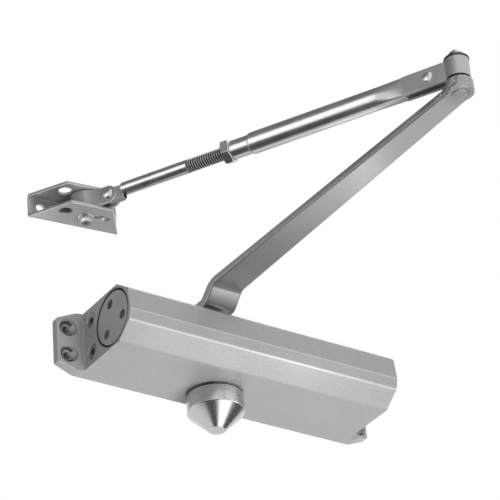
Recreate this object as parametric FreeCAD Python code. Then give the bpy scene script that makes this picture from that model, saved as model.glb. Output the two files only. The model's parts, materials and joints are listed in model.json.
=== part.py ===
import FreeCAD, Part
import math
import os

# Hydraulic door closer with a folding lever arm.
# X runs along the body and Z up along the spindle. The origin is the centre of the four door screws on
# the mounting face, so the door lies in the plane y = 0 and the closer stands out from it towards -Y.
# All sizes are in millimetres. The arm is drawn folded, its main lever straight out from the door.

V = FreeCAD.Vector
UP = V(0, 0, 1)

# Driving dimensions of the body
BODY_LENGTH = 189.4
BODY_HEIGHT = 38.4
BORE_Y = -41.1            # bore axis, measured from the door
PLUG_R = 17.6             # recess for the end plugs
BORE_R = 15.5
FRONT_REACH = 18.4        # flat of the front, ahead of the bore axis
RIDGE_REACH = 20.2        # ridge that runs along the front face
RIDGE_Z = -3.8
FRONT_HALF_HEIGHT = 10.4
SLOPE_REACH = 6.35        # where the front slopes meet the top and the underside
SLOPE_BLEND_R = 3.5
FRONT_EDGE_R = 2.0        # rounds the edges between the front and its slopes
FOOT_LENGTH = 15.9
FOOT_THICKNESS = 8.7      # where the foot leaves the body
FOOT_TIP = 5.5            # at its outer end
FOOT_TAPER = 4.7          # each long edge draws in by this much
FOOT_TAPER_LENGTH = 11.8
FOOT_SHOULDER_R = 8.0
FOOT_CORNER_R = 1.2
SCREW_SPACING_X = 207.6
SCREW_SPACING_Z = 17.4
SCREW_HOLE_R = 2.4
SCREW_HEAD_R = 5.5
SCREW_SEAT_R = 3.2
RELIEF_DEPTH = 1.2

# Spindle, rack and pinion
PINION_X = -10.8
PINION_Y = -18.3
MODULE = 2.0
PINION_TEETH = 10
PRESSURE_ANGLE = math.radians(25)
BACKLASH = 0.3
ADDENDUM = 1.7
DEDENDUM = 2.4
FACE_WIDTH = 17.0
JOURNAL_R = 7.5
SQUARE = 11.0
SPINDLE_BORE_R = 12.8
SPINDLE_END = 39.5
SWING = math.radians(170)

# Levers
HUB_Z = 34.0
HUB_R = 10.8
HUB_HEIGHT = 5.8
LEVER_Z = 43.8            # underside of the straight stretch
LEVER_THICKNESS = 5.0
LEVER_REACH = 251.8       # spindle axis to elbow axis
LEVER_TURN = -89.5        # where the main lever points, from +X
FOREARM_TURN = 118.4
FOREARM_REACH = 238.1     # elbow axis to shoe pivot
FOREARM_Z = 59.5
STRAP_HEIGHT = 12.2
SHOE_Z = 57.5             # the rod's eye is set a little low
SHOE_TURN = -6.7
RUNNING = 0.05            # radial clearance of a turning fit
FREE = 0.3                # clearance between pieces that pass each other

HALF_LENGTH = BODY_LENGTH / 2
HALF_HEIGHT = BODY_HEIGHT / 2
PITCH_R = MODULE * PINION_TEETH / 2
TRAVEL = PITCH_R * SWING
RACK_Y = PINION_Y - PITCH_R


# Building helpers

def outline(corners, lift):
    """Closed wire through corners (a, b, radius), each rounded by its radius, lifted into space."""
    spots = [V(a, b, 0) for a, b, _ in corners]
    runs = []
    for i, (_, _, radius) in enumerate(corners):
        here = spots[i]
        back = (spots[i - 1] - here).normalize()
        ahead = (spots[(i + 1) % len(spots)] - here).normalize()
        if radius == 0:
            runs.append((here, None, here))
            continue
        half = back.getAngle(ahead) / 2
        inward = (back + ahead).normalize()
        reach = radius / math.tan(half)
        middle = here + inward * (radius / math.sin(half) - radius)
        runs.append((here + back * reach, middle, here + ahead * reach))
    edges = []
    for i, (start, middle, end) in enumerate(runs):
        if middle is not None:
            edges.append(Part.Arc(lift(start), lift(middle), lift(end)).toShape())
        following = runs[(i + 1) % len(runs)][0]
        if (following - end).Length > 1e-6:
            edges.append(Part.makeLine(lift(end), lift(following)))
    return Part.Wire(edges)


def slab(corners, plane, start, end):
    """Flat outline in a named plane, drawn from start to end along the third axis."""
    lifts = {"XY": lambda p: V(p.x, p.y, start),
             "YZ": lambda p: V(start, p.x, p.y),
             "XZ": lambda p: V(p.x, start, p.y)}
    along = {"XY": V(0, 0, 1), "YZ": V(1, 0, 0), "XZ": V(0, 1, 0)}[plane]
    return Part.Face(outline(corners, lifts[plane])).extrude(along * (end - start))


def rectangle(half_a, half_b, radius=0, middle=(0, 0)):
    """Corners of a centred rectangle, all rounded by one radius."""
    a, b = middle
    return [(a - half_a, b - half_b, radius), (a + half_a, b - half_b, radius),
            (a + half_a, b + half_b, radius), (a - half_a, b + half_b, radius)]


def sharp(points):
    """Corners without rounding."""
    return [(a, b, 0) for a, b in points]


def turned(profile, base=V(), axis=UP):
    """Solid of revolution from (radius, height) points, its foot at base and its axis along axis."""
    spots = [V(r, 0, h) for r, h in profile]
    solid = Part.Face(Part.makePolygon(spots + spots[:1])).revolve(V(), UP, 360)
    solid.Placement = FreeCAD.Placement(base, FreeCAD.Rotation(UP, axis))
    return solid


def rod(radius, length, base, axis=UP):
    return Part.makeCylinder(radius, length, base, axis)


def ring(outer, inner, length, base, axis=UP):
    return rod(outer, length, base, axis).cut(rod(inner, length, base, axis))


def oring(middle_r, section_r, centre, axis):
    return Part.makeTorus(middle_r, section_r, centre, axis)


def hexagon(across_flats, length, base, axis, chamfer_r):
    """Hexagon bar with both ends turned down to chamfer_r at 30 degrees."""
    corner_r = across_flats / math.sqrt(3)
    angles = [math.radians(60 * i) for i in range(7)]
    spots = [V(corner_r * math.cos(a), corner_r * math.sin(a), 0) for a in angles]
    bar = Part.Face(Part.makePolygon(spots)).extrude(V(0, 0, length))
    slope = (corner_r - chamfer_r) * math.tan(math.radians(30))
    lathe = [(0, 0), (chamfer_r, 0), (corner_r, slope), (corner_r, length - slope),
             (chamfer_r, length), (0, length)]
    bar = bar.common(turned(lathe))
    bar.Placement = FreeCAD.Placement(base, FreeCAD.Rotation(UP, axis))
    return bar


def placed(shape, x, y, turn):
    """Moves a piece from its lever's own frame, where the lever runs along +X, to its place."""
    shape.Placement = FreeCAD.Placement(V(x, y, 0), FreeCAD.Rotation(UP, turn)).multiply(shape.Placement)
    return shape


# Body with its feet

PLUG_FLANGE = 4.5
PLUG_LENGTH = 17.0
PLUG_BODY_R = 16.5
VALVE_BEHIND = 23.8
VALVE_Z = 10.4
VALVE_R = 4.3
VALVE_DEPTH = 24.0
VALVE_BORE_R = VALVE_R + RUNNING
OIL_WAY_R = 1.2
RELIEF_IN = 14.0          # relief of the back face, from the ends and from the long edges
RELIEF_EDGE = 6.0
SEAT_Y = -5.9             # the seats for the door screws' heads grow narrower from here
SEAT_CONE = 1.9
VALVE_MOUTH = 0.7         # countersink round each valve


def body_section():
    """Corners of the cross section: flat back, sloped front with a low ridge."""
    slope_y = BORE_Y - SLOPE_REACH
    front_y = BORE_Y - FRONT_REACH
    return [(0, -HALF_HEIGHT, 0), (0, HALF_HEIGHT, 0), (slope_y, HALF_HEIGHT, SLOPE_BLEND_R),
            (front_y, FRONT_HALF_HEIGHT, FRONT_EDGE_R), (BORE_Y - RIDGE_REACH, RIDGE_Z, 0),
            (front_y, -FRONT_HALF_HEIGHT, FRONT_EDGE_R), (slope_y, -HALF_HEIGHT, SLOPE_BLEND_R)]


def feet():
    """Both feet as one plate behind the body; each grows thinner and narrower towards its outer end."""
    end = HALF_LENGTH + FOOT_LENGTH
    start = end - FOOT_TAPER_LENGTH
    tip = HALF_HEIGHT - FOOT_TAPER
    plan = sharp([(-end, 0), (-end, -FOOT_TIP), (-HALF_LENGTH, -FOOT_THICKNESS),
                  (HALF_LENGTH, -FOOT_THICKNESS), (end, -FOOT_TIP), (end, 0)])
    front = [(-end, -tip, FOOT_CORNER_R), (-start, -HALF_HEIGHT, FOOT_SHOULDER_R),
             (start, -HALF_HEIGHT, FOOT_SHOULDER_R), (end, -tip, FOOT_CORNER_R), (end, tip, FOOT_CORNER_R),
             (start, HALF_HEIGHT, FOOT_SHOULDER_R), (-start, HALF_HEIGHT, FOOT_SHOULDER_R),
             (-end, tip, FOOT_CORNER_R)]
    return slab(plan, "XY", -HALF_HEIGHT, HALF_HEIGHT).common(slab(front, "XZ", -FOOT_THICKNESS, 0))


def screw_hole(x, z):
    """Through hole for a door screw with a cone seat for its head, opening to the front."""
    seat = SEAT_Y + FOOT_THICKNESS
    through = FOOT_THICKNESS + 1
    profile = [(0, -1), (SCREW_HEAD_R, -1), (SCREW_HEAD_R, seat), (SCREW_SEAT_R, seat + SEAT_CONE),
               (SCREW_HOLE_R, seat + SEAT_CONE), (SCREW_HOLE_R, through), (0, through)]
    return turned(profile, V(x, -FOOT_THICKNESS, z), V(0, 1, 0))


def valve_oil_ways(level):
    """Drillings of one regulating valve: seat to the closing chamber, and on to the pinion chamber."""
    seat = V(-HALF_LENGTH + VALVE_DEPTH - 2.0, BORE_Y + VALVE_BEHIND, level * VALVE_Z)
    to_bore = V(seat.x, BORE_Y, 0) - seat
    to_pinion = V(PINION_X - seat.x, 0, 0)
    return [rod(OIL_WAY_R, to_bore.Length, seat, to_bore), rod(OIL_WAY_R, to_pinion.Length, seat, to_pinion)]


def closer_body():
    """Cast body with its feet, bored through for the piston and across for the spindle."""
    solid = slab(body_section(), "YZ", -HALF_LENGTH, HALF_LENGTH).fuse(feet())
    bore = rod(BORE_R, BODY_LENGTH, V(-HALF_LENGTH, BORE_Y, 0), V(1, 0, 0))
    cuts = [bore, rod(SPINDLE_BORE_R, BODY_HEIGHT, V(PINION_X, PINION_Y, -HALF_HEIGHT))]
    for side in (-1, 1):
        inward = V(-side, 0, 0)
        face = V(side * HALF_LENGTH, BORE_Y, 0)
        cuts.append(rod(PLUG_R, PLUG_FLANGE, face, inward))
        cuts.append(rod(PLUG_BODY_R, PLUG_LENGTH, face, inward))
        for level in (-1, 1):
            cuts.append(screw_hole(side * SCREW_SPACING_X / 2, level * SCREW_SPACING_Z / 2))
    for level in (-1, 1):
        mouth = V(-HALF_LENGTH, BORE_Y + VALVE_BEHIND, level * VALVE_Z)
        cuts.append(rod(VALVE_BORE_R, VALVE_DEPTH, mouth, V(1, 0, 0)))
        cuts.append(Part.makeCone(VALVE_BORE_R + VALVE_MOUTH, VALVE_BORE_R, VALVE_MOUTH, mouth, V(1, 0, 0)))
        cuts.extend(valve_oil_ways(level))
    relief = rectangle(HALF_LENGTH - RELIEF_IN, HALF_HEIGHT - RELIEF_EDGE, 4)
    cuts.append(slab(relief, "XZ", -RELIEF_DEPTH, 0))
    for cut in cuts:
        solid = solid.cut(cut)
    return solid.removeSplitter()


# End plugs with three spanner holes, and their seals

PIN_HOLE_R = 2.9
PIN_CIRCLE_R = 10.6
PIN_HOLE_DEPTH = 6.0
PIN_FIRST = 75.5          # first spanner hole, in degrees from +Y towards +Z
SEAL_R = 1.2
SEAL_IN = 13.2
PLUG_GAP = 0.65           # open ring round the plug's flange
PLUG_LIP = 0.15           # thread stands in as a plain wall this far inside its bore


def end_plug(side, spigot_r, spigot_length):
    """Screwed plug; the inner spigot centres the spring or meets the piston."""
    flange_r = PLUG_R - PLUG_GAP
    wall_r = PLUG_BODY_R - PLUG_LIP
    groove_r = PLUG_BODY_R - 2 * SEAL_R
    end = PLUG_LENGTH + spigot_length
    profile = [(0, 0.3), (flange_r - 0.4, 0.3), (flange_r, 0.7), (flange_r, PLUG_FLANGE),
               (wall_r, PLUG_FLANGE), (wall_r, SEAL_IN - SEAL_R), (groove_r, SEAL_IN - SEAL_R),
               (groove_r, SEAL_IN + SEAL_R),
               (wall_r, SEAL_IN + SEAL_R), (wall_r, PLUG_LENGTH), (spigot_r, PLUG_LENGTH),
               (spigot_r - 1, end), (0, end)]
    face = V(side * HALF_LENGTH, BORE_Y, 0)
    plug = turned(profile, face, V(-side, 0, 0))
    for i in range(3):
        angle = math.radians(PIN_FIRST + 120 * i)
        hole = face + V(0, PIN_CIRCLE_R * math.cos(angle), PIN_CIRCLE_R * math.sin(angle))
        plug = plug.cut(rod(PIN_HOLE_R, PIN_HOLE_DEPTH, hole, V(-side, 0, 0)))
    return plug


def plug_seal(side):
    centre = V(side * (HALF_LENGTH - SEAL_IN), BORE_Y, 0)
    return oring(PLUG_BODY_R - SEAL_R, SEAL_R - 0.03, centre, V(1, 0, 0))


# Regulating valves in the left end

def valve(level):
    """Needle valve: hexagon-socket head, seal groove, long taper."""
    groove_r = VALVE_R - 1.4
    tip = VALVE_DEPTH - 1
    profile = [(0, 0.5), (VALVE_R, 0.5), (VALVE_R, 6), (groove_r, 6), (groove_r, 8), (VALVE_R, 8),
               (VALVE_R, 13), (2.6, 14.5), (0.8, tip), (0, tip)]
    base = V(-HALF_LENGTH, BORE_Y + VALVE_BEHIND, level * VALVE_Z)
    needle = turned(profile, base, V(1, 0, 0))
    return needle.cut(hexagon(4.0, 3.6, base, V(1, 0, 0), 2.4))


def valve_seal(level):
    centre = V(-HALF_LENGTH + 7, BORE_Y + VALVE_BEHIND, level * VALVE_Z)
    return oring(VALVE_R - 0.75, 0.62, centre, V(1, 0, 0))


# Piston with its rack, check valve and return spring

PISTON_R = BORE_R - RUNNING
PISTON_LEFT = -HALF_LENGTH + PLUG_LENGTH + 0.3
RACK_CLEAR = 9.6          # the flat runs this far past the spindle axis at both ends of the travel
RACK_LEFT = PINION_X - TRAVEL - RACK_CLEAR
RACK_RIGHT = PINION_X + RACK_CLEAR
PISTON_RIGHT = RACK_RIGHT + 14.4
NOSE_LENGTH = 6.0         # the piston's nose and the right plug's spigot centre the spring
NOSE_R = 9.5
HOLLOW_R = 9.5
HOLLOW_DEPTH = 20.0
SPRING_R = 12.4
WIRE_R = 2.4
SPRING_TURNS = 6
TOOTH_PITCH = math.pi * MODULE


def rack_gap(x):
    """Gap between two rack teeth, open towards the spindle."""
    slope = math.tan(PRESSURE_ANGLE)
    half = TOOTH_PITCH / 4 + BACKLASH / 4
    top = ADDENDUM + 1
    root_half = half - DEDENDUM * slope
    top_half = half + top * slope
    corners = sharp([(x - root_half, RACK_Y - DEDENDUM), (x + root_half, RACK_Y - DEDENDUM),
                     (x + top_half, RACK_Y + top), (x - top_half, RACK_Y + top)])
    return slab(corners, "XY", -FACE_WIDTH, FACE_WIDTH)


def piston():
    """Bar with a sealing head at each end; its middle is cut flat and carries the rack."""
    along = V(1, 0, 0)
    bar = rod(PISTON_R, PISTON_RIGHT - PISTON_LEFT, V(PISTON_LEFT, BORE_Y, 0), along)
    bar = bar.fuse(rod(NOSE_R, NOSE_LENGTH, V(PISTON_RIGHT, BORE_Y, 0), along))
    tip = RACK_Y + ADDENDUM
    bar = bar.cut(Part.makeBox(RACK_RIGHT - RACK_LEFT, 40, 80, V(RACK_LEFT, tip, -40)))
    first = math.ceil((RACK_LEFT - PINION_X) / TOOTH_PITCH)
    for i in range(first, 2):
        bar = bar.cut(rack_gap(PINION_X + i * TOOTH_PITCH))
    hollow = rod(HOLLOW_R, HOLLOW_DEPTH, V(PISTON_LEFT, BORE_Y, 0), along)
    return bar.cut(hollow).cut(check_valve_hole())


CHECK_FACE = PISTON_RIGHT + NOSE_LENGTH
CHECK_BALL_R = 2.5
CHECK_DEPTH = 8.0
CHECK_R = 4.5
CHECK_OIL_R = 1.6


def check_valve_hole():
    """Oil way through the piston to its left hollow, wide where the valve sits in the nose."""
    end = CHECK_FACE - PISTON_LEFT - HOLLOW_DEPTH + 1
    profile = [(0, 0), (CHECK_R, 0), (CHECK_R, CHECK_DEPTH), (CHECK_OIL_R, CHECK_DEPTH),
               (CHECK_OIL_R, end), (0, end)]
    return turned(profile, V(CHECK_FACE, BORE_Y, 0), V(-1, 0, 0))


def check_valve_seat():
    """Screwed ring that keeps the ball in the piston, with the cone that the ball closes."""
    wall_r = CHECK_BALL_R + FREE
    mouth_r = 1.4
    profile = [(mouth_r, 0), (CHECK_R - 0.05, 0), (CHECK_R - 0.05, CHECK_DEPTH), (wall_r, CHECK_DEPTH),
               (wall_r, 2.2), (mouth_r, 1.2)]
    return turned(profile, V(CHECK_FACE, BORE_Y, 0), V(-1, 0, 0))


def check_ball():
    return Part.makeSphere(CHECK_BALL_R, V(CHECK_FACE - CHECK_DEPTH + CHECK_BALL_R + 0.05, BORE_Y, 0))


def return_spring():
    """Round-wire spring between the piston and the right plug."""
    start = PISTON_RIGHT
    height = HALF_LENGTH - PLUG_LENGTH - start - 2 * WIRE_R
    helix = Part.makeHelix(height / SPRING_TURNS, height, SPRING_R)
    section = Part.Wire(Part.makeCircle(WIRE_R, V(SPRING_R, 0, 0), V(0, 1, 0)))
    coil = Part.Wire(helix.Edges).makePipeShell([section], True, True)
    coil.Placement = FreeCAD.Placement(V(start + WIRE_R, BORE_Y, 0), FreeCAD.Rotation(UP, V(1, 0, 0)))
    return coil


# Spindle with its pinion, bearings, seals and cap

NUT_FLANGE_R = 15.6
NUT_FLANGE = 2.6
NUT_COLLAR_R = 11.5
NUT_COLLAR = 6.0
NUT_DEPTH = 7.0
BEARING_R = 10.6
BEARING_HEIGHT = 5.4
SEAL_HOUSING_R = 10.0
SEAL_FLOOR = 1.0
LEVER_SCREW_R = 2.95


def involute(angle):
    return math.tan(angle) - angle


def tooth_flank(radius):
    """Half of the tooth's angle at a radius, for an involute tooth thinned by the backlash."""
    base_r = PITCH_R * math.cos(PRESSURE_ANGLE)
    here = math.acos(min(1.0, base_r / radius))
    thickness = TOOTH_PITCH / 2 - BACKLASH / 2
    return thickness / (2 * PITCH_R) + involute(PRESSURE_ANGLE) - involute(here)


def polar(radius, angle):
    """Point at the lower end of the teeth, by radius and angle about the spindle."""
    return V(PINION_X + radius * math.cos(angle), PINION_Y + radius * math.sin(angle), -FACE_WIDTH / 2)


def pinion_tooth(index):
    """One involute tooth, rooted inside the journal; tooth 0 stands in a gap of the rack."""
    base_r = PITCH_R * math.cos(PRESSURE_ANGLE)
    tip_r = PITCH_R + ADDENDUM
    radii = [base_r + (tip_r - base_r) * i / 4 for i in range(5)]
    centre = math.radians(-90) + 2 * math.pi * index / PINION_TEETH
    lower = [polar(r, centre - tooth_flank(r)) for r in radii]
    upper = [polar(r, centre + tooth_flank(r)) for r in reversed(radii)]
    root = JOURNAL_R - 1.5
    first = polar(root, centre - tooth_flank(base_r))
    last = polar(root, centre + tooth_flank(base_r))
    flank_up = Part.BSplineCurve()
    flank_up.interpolate(lower)
    flank_down = Part.BSplineCurve()
    flank_down.interpolate(upper)
    edges = [Part.makeLine(first, lower[0]), flank_up.toShape(), Part.makeLine(lower[-1], upper[0]),
             flank_down.toShape(), Part.makeLine(upper[-1], last), Part.makeLine(last, first)]
    return Part.Face(Part.Wire(edges)).extrude(V(0, 0, FACE_WIDTH))


def pinion_shaft():
    """Spindle: toothed middle, two journals, a square at each end tapped for the lever screw."""
    shoulder = HUB_Z - 6.0
    half = SQUARE / 2
    corner_r = 6.9
    tip_r = 5.6
    taper = SPINDLE_END - 1.3
    profile = [(0, -SPINDLE_END), (tip_r, -SPINDLE_END), (corner_r, -taper), (corner_r, -shoulder),
               (JOURNAL_R, -shoulder), (JOURNAL_R, shoulder), (corner_r, shoulder), (corner_r, taper),
               (tip_r, SPINDLE_END), (0, SPINDLE_END)]
    axis = V(PINION_X, PINION_Y, 0)
    shaft = turned(profile, axis)
    square = Part.makeBox(SQUARE, SQUARE, 2 * SPINDLE_END, V(-half, -half, -SPINDLE_END))
    square = placed(square, PINION_X, PINION_Y, LEVER_TURN)
    shaft = shaft.common(square.fuse(rod(JOURNAL_R, 2 * shoulder, axis - V(0, 0, shoulder))))
    for index in range(PINION_TEETH):
        shaft = shaft.fuse(pinion_tooth(index))
    shaft = shaft.cut(rod(LEVER_SCREW_R + RUNNING, 14, axis + V(0, 0, SPINDLE_END - 14)))
    return shaft.removeSplitter()


def bearing_nut(level):
    """Screwed bearing housing with spanner notches; the bearing sits inside, the seal outside."""
    bore_r = JOURNAL_R + FREE
    wall_r = SPINDLE_BORE_R - 0.1
    bearing_top = BEARING_HEIGHT - NUT_DEPTH
    profile = [(bore_r, bearing_top), (BEARING_R, bearing_top), (BEARING_R, -NUT_DEPTH), (wall_r, -NUT_DEPTH),
               (wall_r, 0), (NUT_FLANGE_R, 0), (NUT_FLANGE_R, NUT_FLANGE), (NUT_COLLAR_R, NUT_FLANGE),
               (NUT_COLLAR_R, NUT_COLLAR - 0.8), (NUT_COLLAR_R - 0.8, NUT_COLLAR),
               (SEAL_HOUSING_R, NUT_COLLAR), (SEAL_HOUSING_R, SEAL_FLOOR), (bore_r, SEAL_FLOOR)]
    face = V(PINION_X, PINION_Y, level * HALF_HEIGHT)
    nut = turned(profile, face, V(0, 0, level))
    for i in range(4):
        notch = Part.makeBox(4, 4, NUT_FLANGE * 3, V(NUT_FLANGE_R - 2.2, -2, -NUT_FLANGE * 1.5))
        turn = FreeCAD.Rotation(UP, 45 + 90 * i)
        lift = V(0, 0, level * NUT_FLANGE * 1.5)
        notch.Placement = FreeCAD.Placement(face + lift, turn)
        nut = nut.cut(notch)
    return nut


def bearing(level):
    base = V(PINION_X, PINION_Y, level * (HALF_HEIGHT - NUT_DEPTH))
    bore_r = JOURNAL_R + RUNNING
    profile = [(bore_r, 0), (BEARING_R - 0.6, 0), (BEARING_R, 0.6), (BEARING_R, BEARING_HEIGHT),
               (bore_r, BEARING_HEIGHT)]
    return turned(profile, base, V(0, 0, level))


def shaft_seal(level):
    """Lip seal pressed into the nut, its lip leaning on the journal."""
    base = V(PINION_X, PINION_Y, level * (HALF_HEIGHT + SEAL_FLOOR))
    lip_r = JOURNAL_R + RUNNING
    profile = [(SEAL_HOUSING_R, 0), (SEAL_HOUSING_R, 4.2), (JOURNAL_R + 0.8, 4.2), (JOURNAL_R + 0.8, 3.0),
               (lip_r, 1.8), (lip_r, 1.2), (JOURNAL_R + 1.4, 1.2), (JOURNAL_R + 1.4, 0)]
    return turned(profile, base, V(0, 0, level))


CAP_R = 17.3
CAP_GAP = 1.2
CAP_BAND = 11.4
CAP_HEIGHT = 23.2
CAP_TIP_R = 5.5
CAP_WALL = 1.5


def spindle_cap():
    """Turned cone cap over the free lower end of the spindle, snapped on to the lower bearing nut."""
    dimple_r = 1.2
    dimple = 0.8
    ceiling = CAP_HEIGHT - CAP_WALL - dimple
    grip_r = NUT_FLANGE_R + 0.02
    profile = [(grip_r, 0), (CAP_R - 0.4, 0), (CAP_R, 0.4), (CAP_R, CAP_BAND - 0.3), (CAP_R - 0.3, CAP_BAND),
               (CAP_TIP_R + 0.5, CAP_HEIGHT - 0.9), (CAP_TIP_R, CAP_HEIGHT - 0.4),
               (CAP_TIP_R - 0.4, CAP_HEIGHT), (dimple_r, CAP_HEIGHT), (0, CAP_HEIGHT - dimple), (0, ceiling),
               (8.2, ceiling), (CAP_R - CAP_WALL - 0.5, CAP_BAND), (grip_r, CAP_BAND - 1)]
    return turned(profile, V(PINION_X, PINION_Y, -HALF_HEIGHT - CAP_GAP), V(0, 0, -1))


# Main lever and elbow, drawn along +X from the spindle axis

LEVER_ROOT_W = 21.2
LEVER_TIP_W = 13.9
ELBOW_R = 7.8
BEND_START = 11.8         # underside of the crank
BEND_END = 21.4
BEND_BACK = 4.2           # its upper side lies this much nearer to the spindle
BEND_R = 6.0
TOP_BEND_R = 14.0
HUB_FILLET = 3.0
PIN_R = 4.0
PIN_HEAD_R = 4.7
QUARTER = [math.radians(a) for a in (0, 22.5, 45, 67.5, 90)]
ELBOW_BOSS = 3.3
WASHER = 1.2
LEVER_WASHER = 1.6
BARREL_LOW = FOREARM_Z - STRAP_HEIGHT / 2


def main_lever():
    """Cranked lever: side view and plan view drawn as outlines, their common solid is the lever."""
    end = LEVER_REACH + ELBOW_R
    hub_top = HUB_Z + HUB_HEIGHT
    lever_top = LEVER_Z + LEVER_THICKNESS
    top_start = BEND_START - BEND_BACK
    top_end = BEND_END - BEND_BACK
    side = [(-HUB_R, HUB_Z, 0), (BEND_START, HUB_Z, BEND_R), (BEND_END, LEVER_Z, BEND_R), (end, LEVER_Z, 0),
            (end, lever_top, 0), (top_end, lever_top, TOP_BEND_R), (top_start, hub_top, HUB_FILLET),
            (-HUB_R, hub_top, 0)]
    view = slab(side, "XZ", -2 * HUB_R, 2 * HUB_R)
    root = LEVER_ROOT_W / 2 + 0.5
    tip = LEVER_TIP_W / 2
    low = HUB_Z - 1
    high = lever_top + 1
    taper = sharp([(0, -root), (LEVER_REACH, -tip), (LEVER_REACH, tip), (0, root)])
    hub = rod(HUB_R, high - low, V(0, 0, low))
    elbow = rod(ELBOW_R, high - low, V(LEVER_REACH, 0, low))
    lever = view.common(slab(taper, "XY", low, high).fuse([hub, elbow])).removeSplitter()
    half = SQUARE / 2 + RUNNING
    hole = Part.makeBox(2 * half, 2 * half, 20, V(-half, -half, HUB_Z - 5))
    lever = lever.fuse(rod(ELBOW_R, ELBOW_BOSS, V(LEVER_REACH, 0, lever_top))).removeSplitter()
    lever = lever.cut(hole).cut(rod(PIN_R, 20, V(LEVER_REACH, 0, LEVER_Z - 5)))
    return placed(lever, PINION_X, PINION_Y, LEVER_TURN)


def lever_washer():
    washer = ring(6.0, LEVER_SCREW_R + FREE, LEVER_WASHER, V(0, 0, HUB_Z + HUB_HEIGHT))
    return placed(washer, PINION_X, PINION_Y, LEVER_TURN)


def lever_screw():
    """Hexagon screw that holds the lever on the spindle's square."""
    shank = 12.5
    seat = HUB_Z + HUB_HEIGHT + LEVER_WASHER
    head = hexagon(10.0, 4.0, V(0, 0, seat), UP, 4.8)
    screw = head.fuse(rod(LEVER_SCREW_R, shank, V(0, 0, seat - shank)))
    return placed(screw, PINION_X, PINION_Y, LEVER_TURN)


def elbow_pin():
    """Rivet of the elbow: shank through lever and forearm, domed head above, peened foot below."""
    foot = LEVER_Z - 0.8
    neck = FOREARM_Z + STRAP_HEIGHT / 2 + 0.1 + WASHER
    dome = [(PIN_HEAD_R * math.cos(a), neck + 1.2 + 4.6 * math.sin(a)) for a in QUARTER]
    profile = [(0, foot), (4.6, foot), (5.2, foot + 0.8), (PIN_R, foot + 0.8), (PIN_R, neck),
               (PIN_HEAD_R, neck)]
    profile += dome
    return placed(turned(profile, V(LEVER_REACH, 0, 0)), PINION_X, PINION_Y, LEVER_TURN)


def elbow_washer(base, radius):
    return placed(ring(radius, PIN_R, WASHER, V(LEVER_REACH, 0, base)), PINION_X, PINION_Y, LEVER_TURN)


ELBOW_X = PINION_X + LEVER_REACH * math.cos(math.radians(LEVER_TURN))
ELBOW_Y = PINION_Y + LEVER_REACH * math.sin(math.radians(LEVER_TURN))


# Forearm, drawn along +X from the elbow axis

BUSH_R = 5.0
BARREL_R = 6.9
CHEEK = 1.7
CHEEK_OUT = 3.5
CHEEK_BOSS_R = 5.6        # pressed up round the rivet
CHEEK_BOSS = 0.5
TUBE_R = 6.4
TUBE_BORE_R = 4.0 + RUNNING
SHAPE_START = 32.0
SHAPE_END = 48.0
NECK_START = 127.4
NECK_R = 5.6
TUBE_END = 140.1
STRAP_RIVET_X = 16.6
STRAP_RIVET_R = 2.2
ROD_R = 4.0
ROD_START = 70.0
TONGUE_X = 212.0
LINK_X = 221.0
NUT_ACROSS = 13.0
NUT_LENGTH = 6.5


def forearm_tube():
    """Formed strip: a loop round the elbow bush, two riveted cheeks, then a tube with a crimped neck."""
    low = BARREL_LOW
    along = V(1, 0, 0)
    gap = CHEEK_OUT - CHEEK
    pressed = CHEEK_OUT + CHEEK_BOSS
    loop = rod(BARREL_R, STRAP_HEIGHT, V(0, 0, low))
    bosses = rod(CHEEK_BOSS_R, 2 * pressed, V(STRAP_RIVET_X, -pressed, FOREARM_Z), V(0, 1, 0))
    cheeks = Part.makeBox(SHAPE_START, 2 * CHEEK_OUT, STRAP_HEIGHT, V(0, -CHEEK_OUT, low))
    split = Part.makeBox(SHAPE_START - 1, 2 * gap, STRAP_HEIGHT + 2, V(0, -gap, low - 1))
    strip = rectangle(CHEEK_OUT, STRAP_HEIGHT / 2, 1.0, (0, FOREARM_Z))
    flat = outline(strip, lambda p: V(SHAPE_START, p.x, p.y))
    circle = Part.Wire(Part.makeCircle(TUBE_R, V(SHAPE_END, 0, FOREARM_Z), along))
    shaped = Part.makeLoft([flat, circle], True)
    tube = rod(TUBE_R, NECK_START - SHAPE_END, V(SHAPE_END, 0, FOREARM_Z), along)
    crimp = Part.makeCone(TUBE_R, NECK_R, 2.0, V(NECK_START, 0, FOREARM_Z), along)
    neck = rod(NECK_R, TUBE_END - NECK_START - 2.0, V(NECK_START + 2.0, 0, FOREARM_Z), along)
    solid = loop.fuse([cheeks, bosses, shaped, tube, crimp, neck])
    solid = solid.cut(split).cut(rod(BUSH_R, STRAP_HEIGHT + 2, V(0, 0, low - 1)))
    solid = solid.cut(rod(TUBE_BORE_R, TUBE_END, V(SHAPE_END, 0, FOREARM_Z), along))
    solid = solid.cut(rod(STRAP_RIVET_R, 20, V(STRAP_RIVET_X, -10, FOREARM_Z), V(0, 1, 0)))
    return placed(solid.removeSplitter(), ELBOW_X, ELBOW_Y, FOREARM_TURN)


def elbow_bush():
    bush = ring(BUSH_R, PIN_R + RUNNING, STRAP_HEIGHT, V(0, 0, BARREL_LOW))
    return placed(bush, ELBOW_X, ELBOW_Y, FOREARM_TURN)


def rivet(length, shank_r, head_r, head_height):
    """Rivet along +Z with a domed head at each end; the shank starts at z = 0."""
    dome = [(head_r * math.cos(a), head_height * math.sin(a)) for a in QUARTER]
    foot = [(r, -h) for r, h in reversed(dome)]
    head = [(r, length + h) for r, h in dome]
    return turned(foot + [(shank_r, 0), (shank_r, length)] + head)


def strap_rivet():
    reach = CHEEK_OUT + CHEEK_BOSS
    solid = rivet(2 * reach, STRAP_RIVET_R, 3.2, 1.4)
    start = V(STRAP_RIVET_X, reach, FOREARM_Z)
    solid.Placement = FreeCAD.Placement(start, FreeCAD.Rotation(UP, V(0, -1, 0)))
    return placed(solid, ELBOW_X, ELBOW_Y, FOREARM_TURN)


TONGUE = 4.0
EYE_R = 4.4
LINK_RIVET_R = 2.6


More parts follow.
